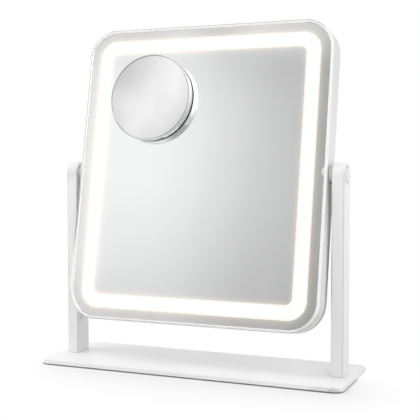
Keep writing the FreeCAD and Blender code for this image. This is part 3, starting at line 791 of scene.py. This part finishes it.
BOARD_GREEN = Grained("board_green_mask", (0.03, 0.19, 0.07), 0.35, 0.08, 0.5 * MM, 0.006 * MM, 0.15)
CHIP_YELLOW = Grained("light_chip", (0.9, 0.78, 0.35), 0.4, 0.06, 0.2 * MM, 0.004 * MM, 0.08)
BLACK = Grained("moulded_black", (0.028, 0.028, 0.03), 0.5, 0.08, 0.3 * MM, 0.006 * MM, 0.15)
CUP_RUBBER = Grained("cup_rubber", (0.7, 0.72, 0.73), 0.35, 0.06, 0.8 * MM, 0.005 * MM, 0.02)
# the seal's glow is painted light from the band
SEAL = Grained("lit_seal", (0.86, 0.84, 0.8), 0.5, 0.05, 0.4 * MM, 0.004 * MM, 0.03, glow=(0.38, 0.37, 0.35))

# Metals: name, colour, roughness and its spread, contrast, scale and depth of the lines
STEEL = Metal("zinc_steel", (0.62, 0.62, 0.63), 0.32, 0.2, 0.15)
CAST = Metal("cast_aluminium", grey(0.6), 0.45, 0.2, 0.15, (900.0, 900.0, 900.0))
CHROME = Metal("bright_chrome", (0.86, 0.865, 0.87), 0.05, 0.05, 0.02, (900.0, 900.0, 900.0), 0.0)

PANE = ClearGlass("clear_pane", (0.985, 0.99, 0.988))
LENS_SILVER = Silvering("silvering_lens", grey(0.99))


def rounded_outline(width: float, height: float, radius: float, steps: int = 16) -> list[Span]:
    """Walk round a rounded rectangle.

    Args:
        width: Its whole width.
        height: Its whole height.
        radius: Radius of its corners.
        steps: Number of points on each corner, less one.

    Returns:
        Points across and up, against the clock.
    """
    points = []
    for quarter, (side, end) in enumerate(((1, 1), (-1, 1), (-1, -1), (1, -1))):
        across, up = side * (width / 2 - radius), end * (height / 2 - radius)
        for step in range(steps + 1):
            angle = math.pi / 2 * (quarter + step / steps)
            points.append((across + radius * math.cos(angle), up + radius * math.sin(angle)))
    return points


def loft(name: str, rings: list[list[Vector]], hollow: bool = False) -> Piece:
    """Skin a row of rings and shade it smooth between its sharp edges.

    Args:
        name: Name of the piece.
        rings: Rings of equal length, from one end to the other.
        hollow: Whether the last ring joins the first, as round a hoop, or both ends are closed.

    Returns:
        The piece.
    """
    grid = bmesh.new()
    rows = [[grid.verts.new(point) for point in ring] for ring in rings]
    for first, second in zip(rows, rows[1:] + rows[:1] if hollow else rows[1:]):
        for index in range(len(first)):
            after = (index + 1) % len(first)
            grid.faces.new((first[index], first[after], second[after], second[index]))
    if not hollow:
        grid.faces.new(list(reversed(rows[0])))
        grid.faces.new(rows[-1])
    bmesh.ops.recalc_face_normals(grid, faces=grid.faces)
    mesh = bpy.data.meshes.new(name)
    grid.to_mesh(mesh)
    grid.free()
    mesh.shade_smooth()
    mesh.set_sharp_from_angle(angle=SHARP_EDGE)
    rows_of = [vertex.index // len(rings[0]) for vertex in mesh.vertices]
    for edge in mesh.edges:
        if not hollow and {rows_of[end] for end in edge.vertices} in ({0}, {len(rings) - 1}):
            edge.use_edge_sharp = True
    piece = bpy.data.objects.new(name, mesh)
    bpy.context.scene.collection.objects.link(piece)
    return piece


def enter(piece: Piece, finish: Finish, body: Body, node: str = "") -> None:
    """Give a piece of the scene its finish and its place on the mirror.

    Args:
        piece: The piece.
        finish: Its finish.
        body: The body that it moves with.
        node: The solid that it stands for, if there is one.
    """
    piece.data.materials.append(finish.material())
    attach(piece, body.value)
    if node:
        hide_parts(node)
    LOG.info("%s built", piece.name)


def dress(finish: Finish, *nodes: str) -> None:
    """Give solids of the frame their finish.

    Args:
        finish: The finish.
        nodes: Names of the solids.
    """
    for name in nodes:
        solid = frame["nodes"][name]
        solid.data.materials.clear()
        solid.data.materials.append(finish.material())
        LOG.info("%s dressed in %s", name, finish.name)


@dataclass
class Stand:
    """Base plate, posts and the fixed halves of the pivots."""

    base_colour: Colour = grey(0.89)
    base_top: float = 5.0 * MM
    post_inner: float = 129.7 * MM
    post_outer: float = 141.3 * MM
    post_front: float = -10.75 * MM
    edge_inset: float = 0.45 * MM
    edge_set_back: float = 0.3 * MM
    cap_radius: float = 7.2 * MM
    cap_gap: float = 0.4 * MM
    # painted shade on the left post's top and its outer edge
    left_shades: tuple[PaintedShade, ...] = (
        PaintedShade((0.0, 0.0, 196 * MM), UPWARD, shade=0.9, width=24 * MM),
        PaintedShade((-140.8 * MM, -10.3 * MM, 0.0), UPRIGHT_EDGE, shade=0.82, width=1.3 * MM),
    )
    # painted shadow on the right post's inner front edge beside the head
    right_shades: tuple[PaintedShade, ...] = (
        PaintedShade((129.8 * MM, -10.6 * MM, 98 * MM), (1.0, 1.0, 0.03), shade=0.45, width=1.3 * MM),
    )
    # painted shade on the base's front right corner
    corner_shades: tuple[PaintedShade, ...] = (
        PaintedShade((143 * MM, -47.5 * MM, 1.5 * MM), (1.0, 1.0, 1.6), shade=0.76, width=7 * MM),
        PaintedShade((132 * MM, -48 * MM, 1.5 * MM), (0.45, 1.0, 1.6), shade=0.87, width=7 * MM),
    )

    def post_finish(self, side: Side) -> Grained:
        """Work out the paint of a post, with painted shade on its front edge and inner face and painted
        shadow lines at foot and cap.

        Args:
            side: Which post.

        Returns:
            The paint.
        """
        right_edge = self.post_outer if side is Side.RIGHT else -self.post_inner
        front_edge = (right_edge - self.edge_inset, self.post_front + self.edge_set_back, 0.0)
        painted_shades = (
            # painted shade on the front edge
            PaintedShade(front_edge, UPRIGHT_EDGE, shade=0.72, width=0.75 * MM),
            # painted shade on the inner face, in the gap's shade
            PaintedShade((side.value * self.post_inner, 0.0, 0.0), ACROSS, shade=0.89, width=0.3 * MM),
            # painted contact shadow at the foot
            PaintedShade((0.0, 0.0, self.base_top), UPWARD, shade=0.6, width=0.5 * MM),
            # painted shade in the gap round the cap
            PaintedShade(PIVOT, ROUND_PIVOT, shade=0.35, width=0.4 * MM, radius=self.cap_radius + self.cap_gap),
        )
        # each side's own painted shades
        painted_shades += self.right_shades if side is Side.RIGHT else self.left_shades
        return replace(WHITE_PAINT, name=side.of(WHITE_PAINT.name), painted_shades=painted_shades)

    def dress(self) -> None:
        """Give the stand its paint, plastic, rubber and metal."""
        base_paint = replace(WHITE_PAINT, name="powder_coat_white_base", colour=self.base_colour)
        dress(replace(base_paint, painted_shades=self.corner_shades), "base_plate")
        dress(PAD_BLACK, "base_pad")
        dress(STEEL, "post_screws")
        # painted shade ring round the rim of the pivot cap
        rim = PaintedShade(PIVOT, ROUND_PIVOT, shade=0.7, width=0.3 * MM, radius=self.cap_radius)
        for side in Side:
            dress(self.post_finish(side), side.of("post"))
            dress(STEEL, side.of("pivot_spring"))
            dress(CAST, side.of("post_insert"))
            dress(NYLON, side.of("pivot_bush"))
            dress(replace(FRAME_WHITE, name="moulded_white_cap", painted_shades=(rim,)), side.of("pivot_cap"))


@dataclass
class Head:
    """Frame, pane, light and back of the tilting head."""

    width: float = 251.4 * MM
    height: float = 285.0 * MM
    corner_radius: float = 28.5 * MM
    back: float = 12 * MM
    pivot_above_centre: float = 1.0 * MM
    rim: float = 2.5 * MM
    border_side: float = 9.6 * MM
    border_end: float = 8.4 * MM
    band: float = 13.9 * MM
    band_outer_radius: float = 18.0 * MM
    band_inner_radius: float = 6.5 * MM
    light_colour: Colour = (1.0, 0.99, 0.975)
    light_level: float = 0.75
    silver_colour: Colour = grey(0.93)
    pane_inset: float = 2.65 * MM
    pane_front: float = 11.0 * MM
    pane_depth: float = 1.97 * MM
    pane_chamfer: float = 0.06 * MM
    seal_rise: float = 0.6 * MM
    seal_edge: Span = (0.02 * MM, 0.01 * MM)
    # painted shade on the seal's upper left
    seal_shade: PaintedShade = PaintedShade((rim - width / 2, 0.0, 255 * MM), (1.0, 0.0, 0.05), shade=0.4, width=6 * MM)
    spacer_gap: float = 0.3 * MM
    frame_shades: tuple[PaintedShade, ...] = (
        # painted contact shadow beside the left post
        PaintedShade((-125.0 * MM, -11.8 * MM, -34 * MM), (1.0, 1.0, 0.04), shade=0.32, width=2.3 * MM),
        # painted shade on the back edges beside both posts
        PaintedShade((-width / 2, back, -95 * MM), (0.12, 1.0, 0.08), shade=0.55, width=9.5 * MM),
        PaintedShade((width / 2, back, -95 * MM), (0.12, 1.0, 0.08), shade=0.55, width=9.5 * MM),
        # painted highlight on the right side
        PaintedShade((width / 2, -1.5 * MM, -60 * MM), (0.3, 1.0, 0.12), shade=1.16, width=9 * MM),
        # painted shade at the low right corner
        PaintedShade((115 * MM, -9.2 * MM, -133 * MM), (0.13, 1.0, 0.13), shade=0.78, width=2.8 * MM),
        PaintedShade((117 * MM, 0.0, -134 * MM), ON_FACE, shade=0.88, width=16 * MM),
    )

    def place(self) -> Matrix:
        """Give the way from the head's upright frame, with its origin on the pivot, to the scene."""
        return Matrix.Translation(PIVOT) @ Matrix.Rotation(-TILT, 4, "X")

    def ring(self, inset: float, height: float) -> list[Vector]:
        """Walk round the head inside its outline.

        Args:
            inset: Distance from the outline.
            height: Height over the front of the pane.

        Returns:
            Points in the scene.
        """
        points = rounded_outline(self.width - 2 * inset, self.height - 2 * inset, self.corner_radius - inset)
        middle = (0.0, -self.pane_front - height, -self.pivot_above_centre)
        place = self.place() @ Matrix.Translation(middle)
        return [place @ Vector((across, 0.0, up)) for across, up in points]

    def build(self) -> None:
        """Build the polished pane and the pale seal that fills the slit between it and the rim."""
        side, face, chamfer = self.pane_inset, self.pane_inset + self.pane_chamfer, self.pane_chamfer
        rings = [self.ring(*at) for at in ((face, 0.0), (side, -chamfer), (side, -self.pane_depth))]
        enter(loft("polished_pane", rings), PANE, Body.HEAD, "mirror_glass")
        seal = [(self.rim, self.seal_rise), *((face, height) for height in self.seal_edge), (side, -chamfer),
                (self.rim, -chamfer)]
        hoop = loft("pane_seal", [self.ring(*at) for at in seal], hollow=True)
        enter(hoop, replace(SEAL, painted_shades=(self.seal_shade,)), Body.HEAD)

    def outline(self) -> BandOutline:
        """Work out the band's outline from the head's sizes.

        Returns:
            The outline.
        """
        outer = (self.width - 2 * (self.rim + self.border_side),
                 self.height - 2 * (self.rim + self.border_end))
        inner = (side - 2 * self.band for side in outer)
        return BandOutline((*outer, self.band_outer_radius), (*inner, self.band_inner_radius),
                           -self.pivot_above_centre)

    def dress(self) -> None:
        """Give the head its plastic, glass, silver, light and metal."""
        band = self.outline()
        shades = tuple(replace(shade, band=band) for shade in self.frame_shades)
        moulded = vars(FRAME_WHITE) | {"name": "moulded_white_lipped", "painted_shades": shades}
        outline = (self.width, self.height, self.corner_radius)
        dress(Lipped(**moulded, band=band, outline=outline), "front_frame")
        for side in Side:
            end = side.value * (self.width / 2 + self.spacer_gap)
            # painted contact shadow at the spacer's end against the frame
            line = PaintedShade((end, 0.0, 0.0), ACROSS, shade=0.55, width=1.3 * MM)
            spacer = replace(SPACER_SHADED_WHITE, name=side.of(SPACER_SHADED_WHITE.name), painted_shades=(line,))
            dress(spacer, side.of("pivot_spacer"))
            dress(STEEL, side.of("pivot_bracket"), side.of("pivot_bolt"))
        dress(PaneSilver("silvering_pane", self.silver_colour, band=band), "mirror_coating")
        dress(LitOpal("opal_lit", self.light_colour, self.light_level, band), "light_diffuser")
        dress(COVER_WHITE, "back_cover")
        dress(TAPE, "glass_tape")
        dress(TRAY_WHITE, "light_tray")
        dress(BOARD_WHITE, "led_board")
        dress(CHIP_YELLOW, "led_chips")
        dress(BOARD_GREEN, "control_board")
        dress(BLACK, "board_parts", "switch_body", "socket_tongue", "led_leads")
        dress(STEEL, "cover_screws", "board_screws", "socket_shell")


@dataclass
class PowerButton:
    """Round button on the back, with a plain on and off mark."""

    head: Head
    middle_x: float = 72.7 * MM
    middle_z: float = -93.7 * MM
    face: float = 12.3 * MM
    mark_radius: float = 2.3 * MM
    mark_width: float = 0.55 * MM
    mark_depths: Span = (-0.05 * MM, 0.03 * MM)
    bar_foot: float = 0.3 * MM
    opening: float = math.radians(38.0)
    around: int = 40

    def raised(self, name: str, edges: list[tuple[Span, Span]]) -> None:
        """Build a thin raised mark from the pairs of points along its two edges.

        Args:
            name: Name of the piece.
            edges: Points across and up from the middle of the button, on one edge and on the other.
        """
        place = self.head.place() @ Matrix.Translation((self.middle_x, self.face, self.middle_z))
        sunk, proud = self.mark_depths
        rings = []
        for first, second in edges:
            corners = ((first, sunk), (first, proud), (second, proud), (second, sunk))
            rings.append([place @ Vector((across, depth, up)) for (across, up), depth in corners])
        enter(loft(name, rings), MARK_GREY, Body.BUTTON)

    def build(self) -> None:
        """Build the open ring and the bar of the mark."""
        half = self.mark_width / 2
        ring = []
        for step in range(self.around + 1):
            angle = math.pi / 2 + self.opening + 2 * (math.pi - self.opening) * step / self.around
            ring.append(tuple((radius * math.cos(angle), radius * math.sin(angle))
                              for radius in (self.mark_radius - half, self.mark_radius + half)))
        self.raised("mark_ring", ring)
        ends = (self.bar_foot, self.mark_radius + self.mark_width)
        self.raised("mark_bar", [((-half, up), (half, up)) for up in ends])

    def dress(self) -> None:
        """Give the button and its plunger their plastic."""
        dress(BUTTON_GREY, "power_button")
        dress(NYLON, "switch_plunger")


@dataclass
class Magnifier:
    """Round magnifier that stands on the pane, with a smooth concave mirror in its chrome ring.

    A spot of painted reflection has its place from the middle of the magnifier, across and up, its shade and
    its width. The ring's section has its points as radius and height over the pane, in millimetres.
    """

    head: Head
    middle_x: float = -50.9 * MM
    middle_z: float = 70.6 * MM
    radius: float = 40.55 * MM
    rim: float = 9.4 * MM
    top: float = 9.6 * MM
    sag: float = 2.0 * MM
    thickness: float = 1.8 * MM
    ground_edge: float = 0.15 * MM
    hub: float = 0.1
    around: int = 160
    rings: int = 32
    section: tuple[Span, ...] = (
        (39.6, 0.5), (40.8, 0.5), (41.0, 0.7), (41.68, 6.6), (41.45, 6.72), (41.45, 6.98), (41.74, 7.1),
        (41.88, 8.2), (41.62, 8.32), (41.62, 8.56), (41.93, 8.68), (42.0, 9.0), (41.96, 9.3),
        (41.84, 9.5), (41.6, 9.6), (41.0, 9.6), (40.85, 9.52), (40.8, 9.35), (40.8, 7.4), (39.6, 7.4))
    # painted reflection shade on the mirror, darker in broad spots
    painted_reflection_spots: tuple[Spot, ...] = (
        (-29 * MM, 45 * MM, 0.85, 51 * MM), (16 * MM, -9 * MM, 0.94, 18 * MM),
        (-4 * MM, 26 * MM, 0.88, 46 * MM))
    # painted reflection on the ring: painted highlight at its left, painted shade at its foot and lower right
    painted_ring_spots: tuple[Spot, ...] = (
        (-41 * MM, 0.0, 1.3, 34 * MM), (-8 * MM, -41 * MM, 0.9, 20 * MM), (31 * MM, -27 * MM, 0.78, 26 * MM))

    def hollow(self, radius: float) -> float:
        """Work out how far the mirror's face lies under its rim at a distance from its middle."""
        curve = (self.radius ** 2 + self.sag ** 2) / (2 * self.sag)
        return math.sqrt(curve ** 2 - radius ** 2) - math.sqrt(curve ** 2 - self.radius ** 2)

    def circle(self, radius: float, height: float) -> list[Vector]:
        """Walk round the magnifier.

        Args:
            radius: Distance from its middle.
            height: Height over the front of the pane.

        Returns:
            Points in the scene.
        """
        middle = (self.middle_x, -self.head.pane_front - height, self.middle_z)
        place = self.head.place() @ Matrix.Translation(middle)
        angles = (2 * math.pi * step / self.around for step in range(self.around))
        return [place @ Vector((radius * math.cos(angle), 0.0, radius * math.sin(angle)))
                for angle in angles]

    def spots(self, spots: tuple[Spot, ...]) -> tuple[PaintedShade, ...]:
        """Lay spots of painted reflection on the magnifier, in the head's frame."""
        band = self.head.outline()
        return tuple(PaintedShade((self.middle_x + across, 0.0, self.middle_z - band.middle + up), ON_FACE, shade,
                          width, band=band) for across, up, shade, width in spots)

    def silver(self) -> Silvering:
        """Work out the silver of the mirror, with painted reflection shade: darker in a few broad spots."""
        return replace(LENS_SILVER, painted_shades=self.spots(self.painted_reflection_spots))

    def chrome(self) -> Metal:
        """Work out the chrome of the ring, with painted shade on its top, at its foot and at its lower right
        and a painted highlight at its left.
        """
        # painted shade line on the ring's top
        top = PaintedShade((0.0, -self.head.pane_front - self.top, 0.0), DEPTH, shade=0.85, width=0.16 * MM,
                   band=self.head.outline())
        return replace(CHROME, painted_shades=(top, *self.spots(self.painted_ring_spots)))

    def build(self) -> None:
        """Build the concave mirror, from its middle round to the middle of its back, and its ring."""
        face = self.radius - self.ground_edge
        radii = [face * (step + self.hub) / (self.rings + self.hub) for step in range(self.rings + 1)]
        front = [(radius, self.rim - self.hollow(radius)) for radius in radii]
        back = [(radius, self.rim - self.thickness - self.hollow(radius))
                for radius in (self.radius, *reversed(radii))]
        profile = [*front, (self.radius, self.rim - self.ground_edge), *back]
        lens = loft("concave_mirror", [self.circle(*at) for at in profile])
        enter(lens, self.silver(), Body.MAGNIFIER, "magnifier_mirror")
        hoop = [self.circle(radius * MM, height * MM) for radius, height in self.section]
        bezel = loft("turned_bezel", hoop, hollow=True)
        enter(bezel, self.chrome(), Body.MAGNIFIER, "magnifier_bezel")

    def dress(self) -> None:
        """Give the magnifier its plastic, chrome, silver and rubber."""
        dress(PUCK_WHITE, "magnifier_body")
        dress(self.chrome(), "magnifier_bezel")
        dress(self.silver(), "magnifier_mirror")
        dress(CUP_RUBBER, "suction_cups")


def square(half: float) -> list[Point]:
    """Give the corners of a level square round the origin."""
    return [(across * half, along * half, 0.0) for across, along in ((-1, -1), (1, -1), (1, 1), (-1, 1))]


def sheet(name: str, corners: list[Point], hidden_from: tuple[str, ...] = ()) -> tuple[Piece, Graph]:
    """Lay a flat piece of the studio with four corners and an empty material.

    Args:
        name: Its name.
        corners: Its corners, in order.
        hidden_from: Kinds of ray that pass through it.

    Returns:
        The piece and a graph on its material.
    """
    mesh = bpy.data.meshes.new(name)
    mesh.from_pydata(corners, [], [(0, 1, 2, 3)])
    piece = bpy.data.objects.new(name, mesh)
    bpy.context.scene.collection.objects.link(piece)
    for ray in hidden_from:
        setattr(piece, f"visible_{ray}", False)
    material = bpy.data.materials.new(name)
    mesh.materials.append(material)
    return piece, Graph.fresh(material)


@dataclass(frozen=True)
class SoftLamp:
    """Square soft lamp that points at one place and isn't seen in the mirrors."""

    name: str
    place: Point
    aim: Point
    size: float
    power: float

    def build(self) -> None:
        """Hang the lamp."""
        data = bpy.data.lights.new(self.name, "AREA")
        data.size = self.size
        data.energy = self.power
        lamp = bpy.data.objects.new(self.name, data)
        lamp.location = self.place
        toward = Vector(self.aim) - Vector(self.place)
        lamp.rotation_euler = toward.to_track_quat("-Z", "Y").to_euler()
        for ray in ("camera", "glossy", "transmission"):
            setattr(lamp, f"visible_{ray}", False)
        bpy.context.scene.collection.objects.link(lamp)


@dataclass(frozen=True)
class MirrorCard:
    """Large pale card out of view, whose shades are what the mirrors show.

    A stop has its place along a side and its shade. A spot has its place across and up, its radius and what
    it adds to the shade.
    """

    name: str = "mirror_card"
    border: float = 0.8
    turn: float = math.radians(23.5)
    rise: float = math.radians(17.0)
    distance: float = 3.0
    half: float = 2.0
    across: tuple[Span, ...] = (
        (-2.0, 1.0), (-0.95, 0.68), (-0.5, 0.51), (-0.35, 0.62), (-0.15, 0.72), (0.05, 0.88), (0.2, 0.97),
        (0.35, 1.0), (0.5, 1.0), (0.7, 0.82), (1.1, 0.8), (2.0, 1.0))
    upward: tuple[Span, ...] = (
        (-2.0, 0.85), (-0.42, 0.79), (-0.12, 0.89), (0.15, 0.99), (0.4, 1.0), (0.62, 0.92), (0.82, 0.78),
        (1.1, 0.85), (2.0, 1.0))
    spots: tuple[Spot, ...] = (
        (0.2, 0.79, 0.11, 0.12), (-0.6, 1.5, 0.45, 0.8), (-0.06, 0.88, 0.1, 0.28), (-0.17, 0.88, 0.1, 0.32),
        (-0.29, 0.88, 0.1, 0.28), (-0.4, 0.88, 0.1, 0.28), (0.51, -0.19, 0.13, 0.08),
        (-0.38, -0.33, 0.16, 0.08), (-0.42, 0.45, 0.13, -0.09), (-0.44, 0.2, 0.12, -0.06),
        (0.28, -0.41, 0.16, -0.06))

    def along(self, graph: Graph, place: Socket, stops: tuple[Span, ...]) -> Socket:
        """Wire a row of shades along one side of the card.

        Args:
            graph: Graph of the card's material.
            place: Place along that side, in metres.
            stops: The stops, the first and the last at the ends of the side.

        Returns:
            The shade's colour socket.
        """
        per_metre = 0.5 / self.half
        node = graph.node("ValToRGB", {0: graph.math("MULTIPLY_ADD", place, per_metre, 0.5)})
        node.color_ramp.interpolation = "CARDINAL"
        dots = node.color_ramp.elements
        for at, shade in stops[1:-1]:
            dots.new(at * per_metre + 0.5).color = opaque(grey(shade))
        for end in (0, -1):
            dots[end].color = opaque(grey(stops[end][1]))
        return node.outputs[0]

    def spotted(self, graph: Graph, place: Socket) -> Socket:
        """Wire the soft light and dark spots of the card.

        Args:
            graph: Graph of the card's material.
            place: Place on the card.

        Returns:
            The strength at each place, one where there is no spot.
        """
        strength = 1.0
        for across, up, radius, gain in self.spots:
            ratio = graph.math("DIVIDE", graph.reach(place, (across, up, 0.0)), radius)
            fade = graph.math("EXPONENT", graph.product(ratio, ratio, -1.0))
            strength = graph.math("MULTIPLY_ADD", fade, gain, strength)
        return strength

    def build(self) -> None:
        """Stand the card up where only mirrors see it."""
        card, graph = sheet(self.name, square(self.half), ("camera", "diffuse", "shadow", "volume_scatter"))
        level = math.cos(self.rise)
        toward = Vector((-math.sin(self.turn) * level, -math.cos(self.turn) * level, math.sin(self.rise)))
        right = toward.cross(Vector(UPWARD)).normalized()
        turned = Matrix((right, right.cross(toward), -toward)).transposed().to_4x4()
        card.matrix_world = Matrix.Translation(toward * self.distance) @ turned
        place = graph.place()
        across, up, _ = graph.parts(place)
        shades = {0: 1.0, 6: self.along(graph, across, self.across), 7: self.along(graph, up, self.upward)}
        shade = graph.node("Mix", shades, data_type="RGBA", blend_type="MULTIPLY").outputs[2]
        spotted = graph.scale(shade, self.spotted(graph, place))
        away = graph.math("MAXIMUM", *(graph.math("ABSOLUTE", side) for side in (across, up)))
        border = graph.step(away, self.border * self.half, self.half)
        graph.surface(graph.node("Emission", {"Color": graph.mix(border, spotted, WHITE_LIGHT)}))


@dataclass(frozen=True)
class GapFlag:
    """Narrow black flag that keeps the light from behind out of the gap between head and post."""

    name: str
    sides: Span
    ends: Span = (38 * MM, 176 * MM)
    depth: float = -4 * MM
    colour: Colour = grey(0.01)

    def build(self) -> None:
        """Stand the flag up where only soft light meets it."""
        left, right = self.sides
        low, high = self.ends
        corners = [(x, self.depth, z) for x, z in ((left, low), (right, low), (right, high), (left, high))]
        flag, graph = sheet(self.name, corners, ("camera", "glossy", "transmission", "volume_scatter"))
        graph.surface(graph.node("BsdfDiffuse", {"Color": opaque(self.colour)}))


@dataclass
class Studio:
    """White floor and sky, soft lamps, cards for the mirrors to show, flags in the gaps, and the camera.

    A span in the floor's fields has the place where a change starts and the place where it is whole.
    """

    camera_place: Point = (0.344055, -0.796014, 0.19817)
    camera_turn: float = math.radians(22.832)
    camera_dip: float = math.radians(3.135)
    lens_mm: float = 78.466
    base: Point = (0.3, 0.096, 0.009)
    floor_size: float = 30.0
    floor_colour: Colour = grey(0.8)
    floor_shown: Colour = grey(0.45)
    floor_lift: float = 0.56
    floor_fade: Span = (0.06, 0.19)
    back_fade: float = 0.25
    back_side: Span = (-0.02, 0.04)
    # painted shadow on the floor in front of the base and under its edges
    shade_level: float = 0.29
    shade_reach: float = 0.034
    shade_front: Span = (0.02, -0.05)
    shade_left: Span = (-0.2, -0.08)
    contact: Span = (-0.2 * MM, 2.3 * MM)
    right_end: Span = (0.14, 0.15)
    right_gap: float = 0.8 * MM
    # painted shade in a floor patch that only the mirrors show
    mirrored_dip: float = 0.4
    mirrored_patch: Point = (0.15, -0.52, 0.0)
    patch_fade: Span = (0.36, 0.12)
    sky_turn: Span = (-0.7, 0.7)
    sky_levels: Span = (0.624, 0.874)
    seen_level: float = 1.0
    lamps: tuple[SoftLamp, ...] = (
        SoftLamp("front_lamp", (-0.4, -0.55, 1.2), (0.0, 0.0, 0.1), 0.6, 2.27),
        SoftLamp("right_lamp", (0.6, -0.6, 0.7), (0.0, 0.0, 0.15), 0.4, 1.44),
        SoftLamp("left_lamp", (-0.7, -0.3, 0.7), (0.0, 0.0, 0.15), 0.4, 1.96),
        SoftLamp("side_lamp", (0.28, 0.02, 0.2), (0.14, 0.0, 0.165), 0.08, 0.038),
    )
    cards: tuple[MirrorCard, ...] = (
        MirrorCard(),
        MirrorCard("fill_card", turn=math.radians(-28.0), rise=math.radians(24.0), distance=2.2, half=1.5,
                   across=((-1.5, 1.0), (0.0, 1.0), (1.5, 1.0)),
                   upward=((-1.5, 0.62), (-1.1, 0.66), (-0.6, 0.82), (0.0, 0.9), (0.5, 1.0), (1.5, 1.0)),
                   spots=((-0.45, -0.1, 0.5, 1.0), (-0.5, -0.95, 0.42, 0.75), (0.07, 0.64, 0.42, 0.8),
                          (0.9, 1.1, 0.5, 0.9), (0.62, 0.0, 0.35, -0.15))),
    )
    flags: tuple[GapFlag, ...] = (GapFlag("gap_flag_left", (-129.6 * MM, -125.8 * MM)),
                                  GapFlag("gap_flag_right", (125.8 * MM, 129.6 * MM)))

    def build(self) -> None:
        """Build the whole studio."""
        self.sky()
        self.floor()
        for item in (*self.cards, *self.flags, *self.lamps):
            item.build()
        self.camera()
        bpy.context.scene.view_settings.view_transform = "Standard"

    @staticmethod
    def seen(graph: Graph) -> Socket:
        """Wire a mask of the rays that look at the background: camera, mirror and glass rays."""
        rays = graph.node("LightPath").outputs
        return reduce(lambda mask, ray: graph.math("MAXIMUM", mask, rays[f"Is {ray} Ray"]),
                      ("Glossy", "Transmission"), rays["Is Camera Ray"])

    def sky(self) -> None:
        """Light softly from all round, less from the front, and look white."""
        world = bpy.data.worlds.new("studio_white")
        graph = Graph.fresh(world)
        back = graph.parts(graph.node("TexCoord").outputs["Generated"])[1]
        level = graph.step(back, *self.sky_turn, *self.sky_levels)
        light, look = (graph.node("Background", {"Color": WHITE_LIGHT, "Strength": strength}).outputs[0]
                       for strength in (level, self.seen_level))
        mixed = graph.node("MixShader", {0: self.seen(graph), 1: light, 2: look})
        graph.node("OutputWorld", {"Surface": mixed.outputs[0]})
        bpy.context.scene.world = world

    def lift(self, graph: Graph, ground: Socket, away: Socket) -> Socket:
        """Wire what lifts the floor towards white, less of it in front of the base and none under its edge: a
        painted shadow.

        Args:
            graph: Graph of the floor's material.
            ground: Place on the floor.
            away: Distance from the base.

        Returns:
            The strength of the lift.
        """
        across, along, _ = graph.parts(ground)
        fade = graph.math("EXPONENT", graph.math("DIVIDE", away, -self.shade_reach))
        dim = graph.product(fade, graph.step(along, *self.shade_front), graph.step(across, *self.shade_left),
                            -self.shade_level)
        beside = graph.math("MULTIPLY_ADD", graph.step(across, *self.right_end), self.right_gap, away)
        left = graph.math("MULTIPLY_ADD", dim, self.floor_lift, self.floor_lift)
        return graph.product(left, graph.step(beside, *self.contact))

    def far(self, graph: Graph, ground: Socket) -> Socket:
        """Wire the level of the white that the floor goes over into, with painted shade in a patch that the
        mirrors show.

        Args:
            graph: Graph of the floor's material.
            ground: Place on the floor.

        Returns:
            The level.
        """
        patch = graph.step(graph.reach(ground, self.mirrored_patch), *self.patch_fade)
        ahead = graph.product(patch, graph.node("LightPath").outputs["Is Glossy Ray"])
        return graph.math("MULTIPLY_ADD", ahead, -self.mirrored_dip, self.seen_level)

    def floor(self) -> None:
        """Lay a pale floor that keeps the shadow and goes over into the white."""
        floor, graph = sheet("floor", square(self.floor_size / 2))
        ground = graph.place()
        across, along, _ = graph.parts(ground)
        flat = graph.node("CombineXYZ", {0: across, 2: along}).outputs[0]
        away = outline_distance(graph, flat, self.base)
        matte, pale = (graph.node("BsdfDiffuse", {"Color": opaque(colour)}).outputs[0]
                       for colour in (self.floor_colour, self.floor_shown))
        lift, white = (graph.node("Emission", {"Color": WHITE_LIGHT, "Strength": strength}).outputs[0]
                       for strength in (self.lift(graph, ground, away), self.far(graph, ground)))
        shown = graph.node("AddShader", {0: pale, 1: lift}).outputs[0]
        seen = self.seen(graph)
        near = graph.node("MixShader", {0: seen, 1: matte, 2: shown}).outputs[0]
        behind = graph.math("MULTIPLY_ADD", graph.step(along, *self.back_side), self.back_fade, away)
        share = graph.product(graph.step(behind, *self.floor_fade), seen)
        graph.surface(graph.node("MixShader", {0: share, 1: near, 2: white}))

    def camera(self) -> None:
        """Stand the camera where the picture was taken from."""
        data = bpy.data.cameras.new("camera")
        data.lens = self.lens_mm
        camera = bpy.data.objects.new("camera", data)
        camera.location = self.camera_place
        camera.rotation_euler = (math.pi / 2 - self.camera_dip, 0.0, self.camera_turn)
        bpy.context.scene.collection.objects.link(camera)
        bpy.context.scene.camera = camera


def main() -> None:
    """Dress the mirror and build the studio."""
    logging.basicConfig(level=logging.INFO, format="%(name)s: %(message)s")
    head = Head()
    magnifier = Magnifier(head)
    button = PowerButton(head)
    for part in (head, magnifier, button):
        part.build()
    for part in (Stand(), head, button, magnifier):
        part.dress()
    Studio().build()


if __name__ == "__main__":
    main()
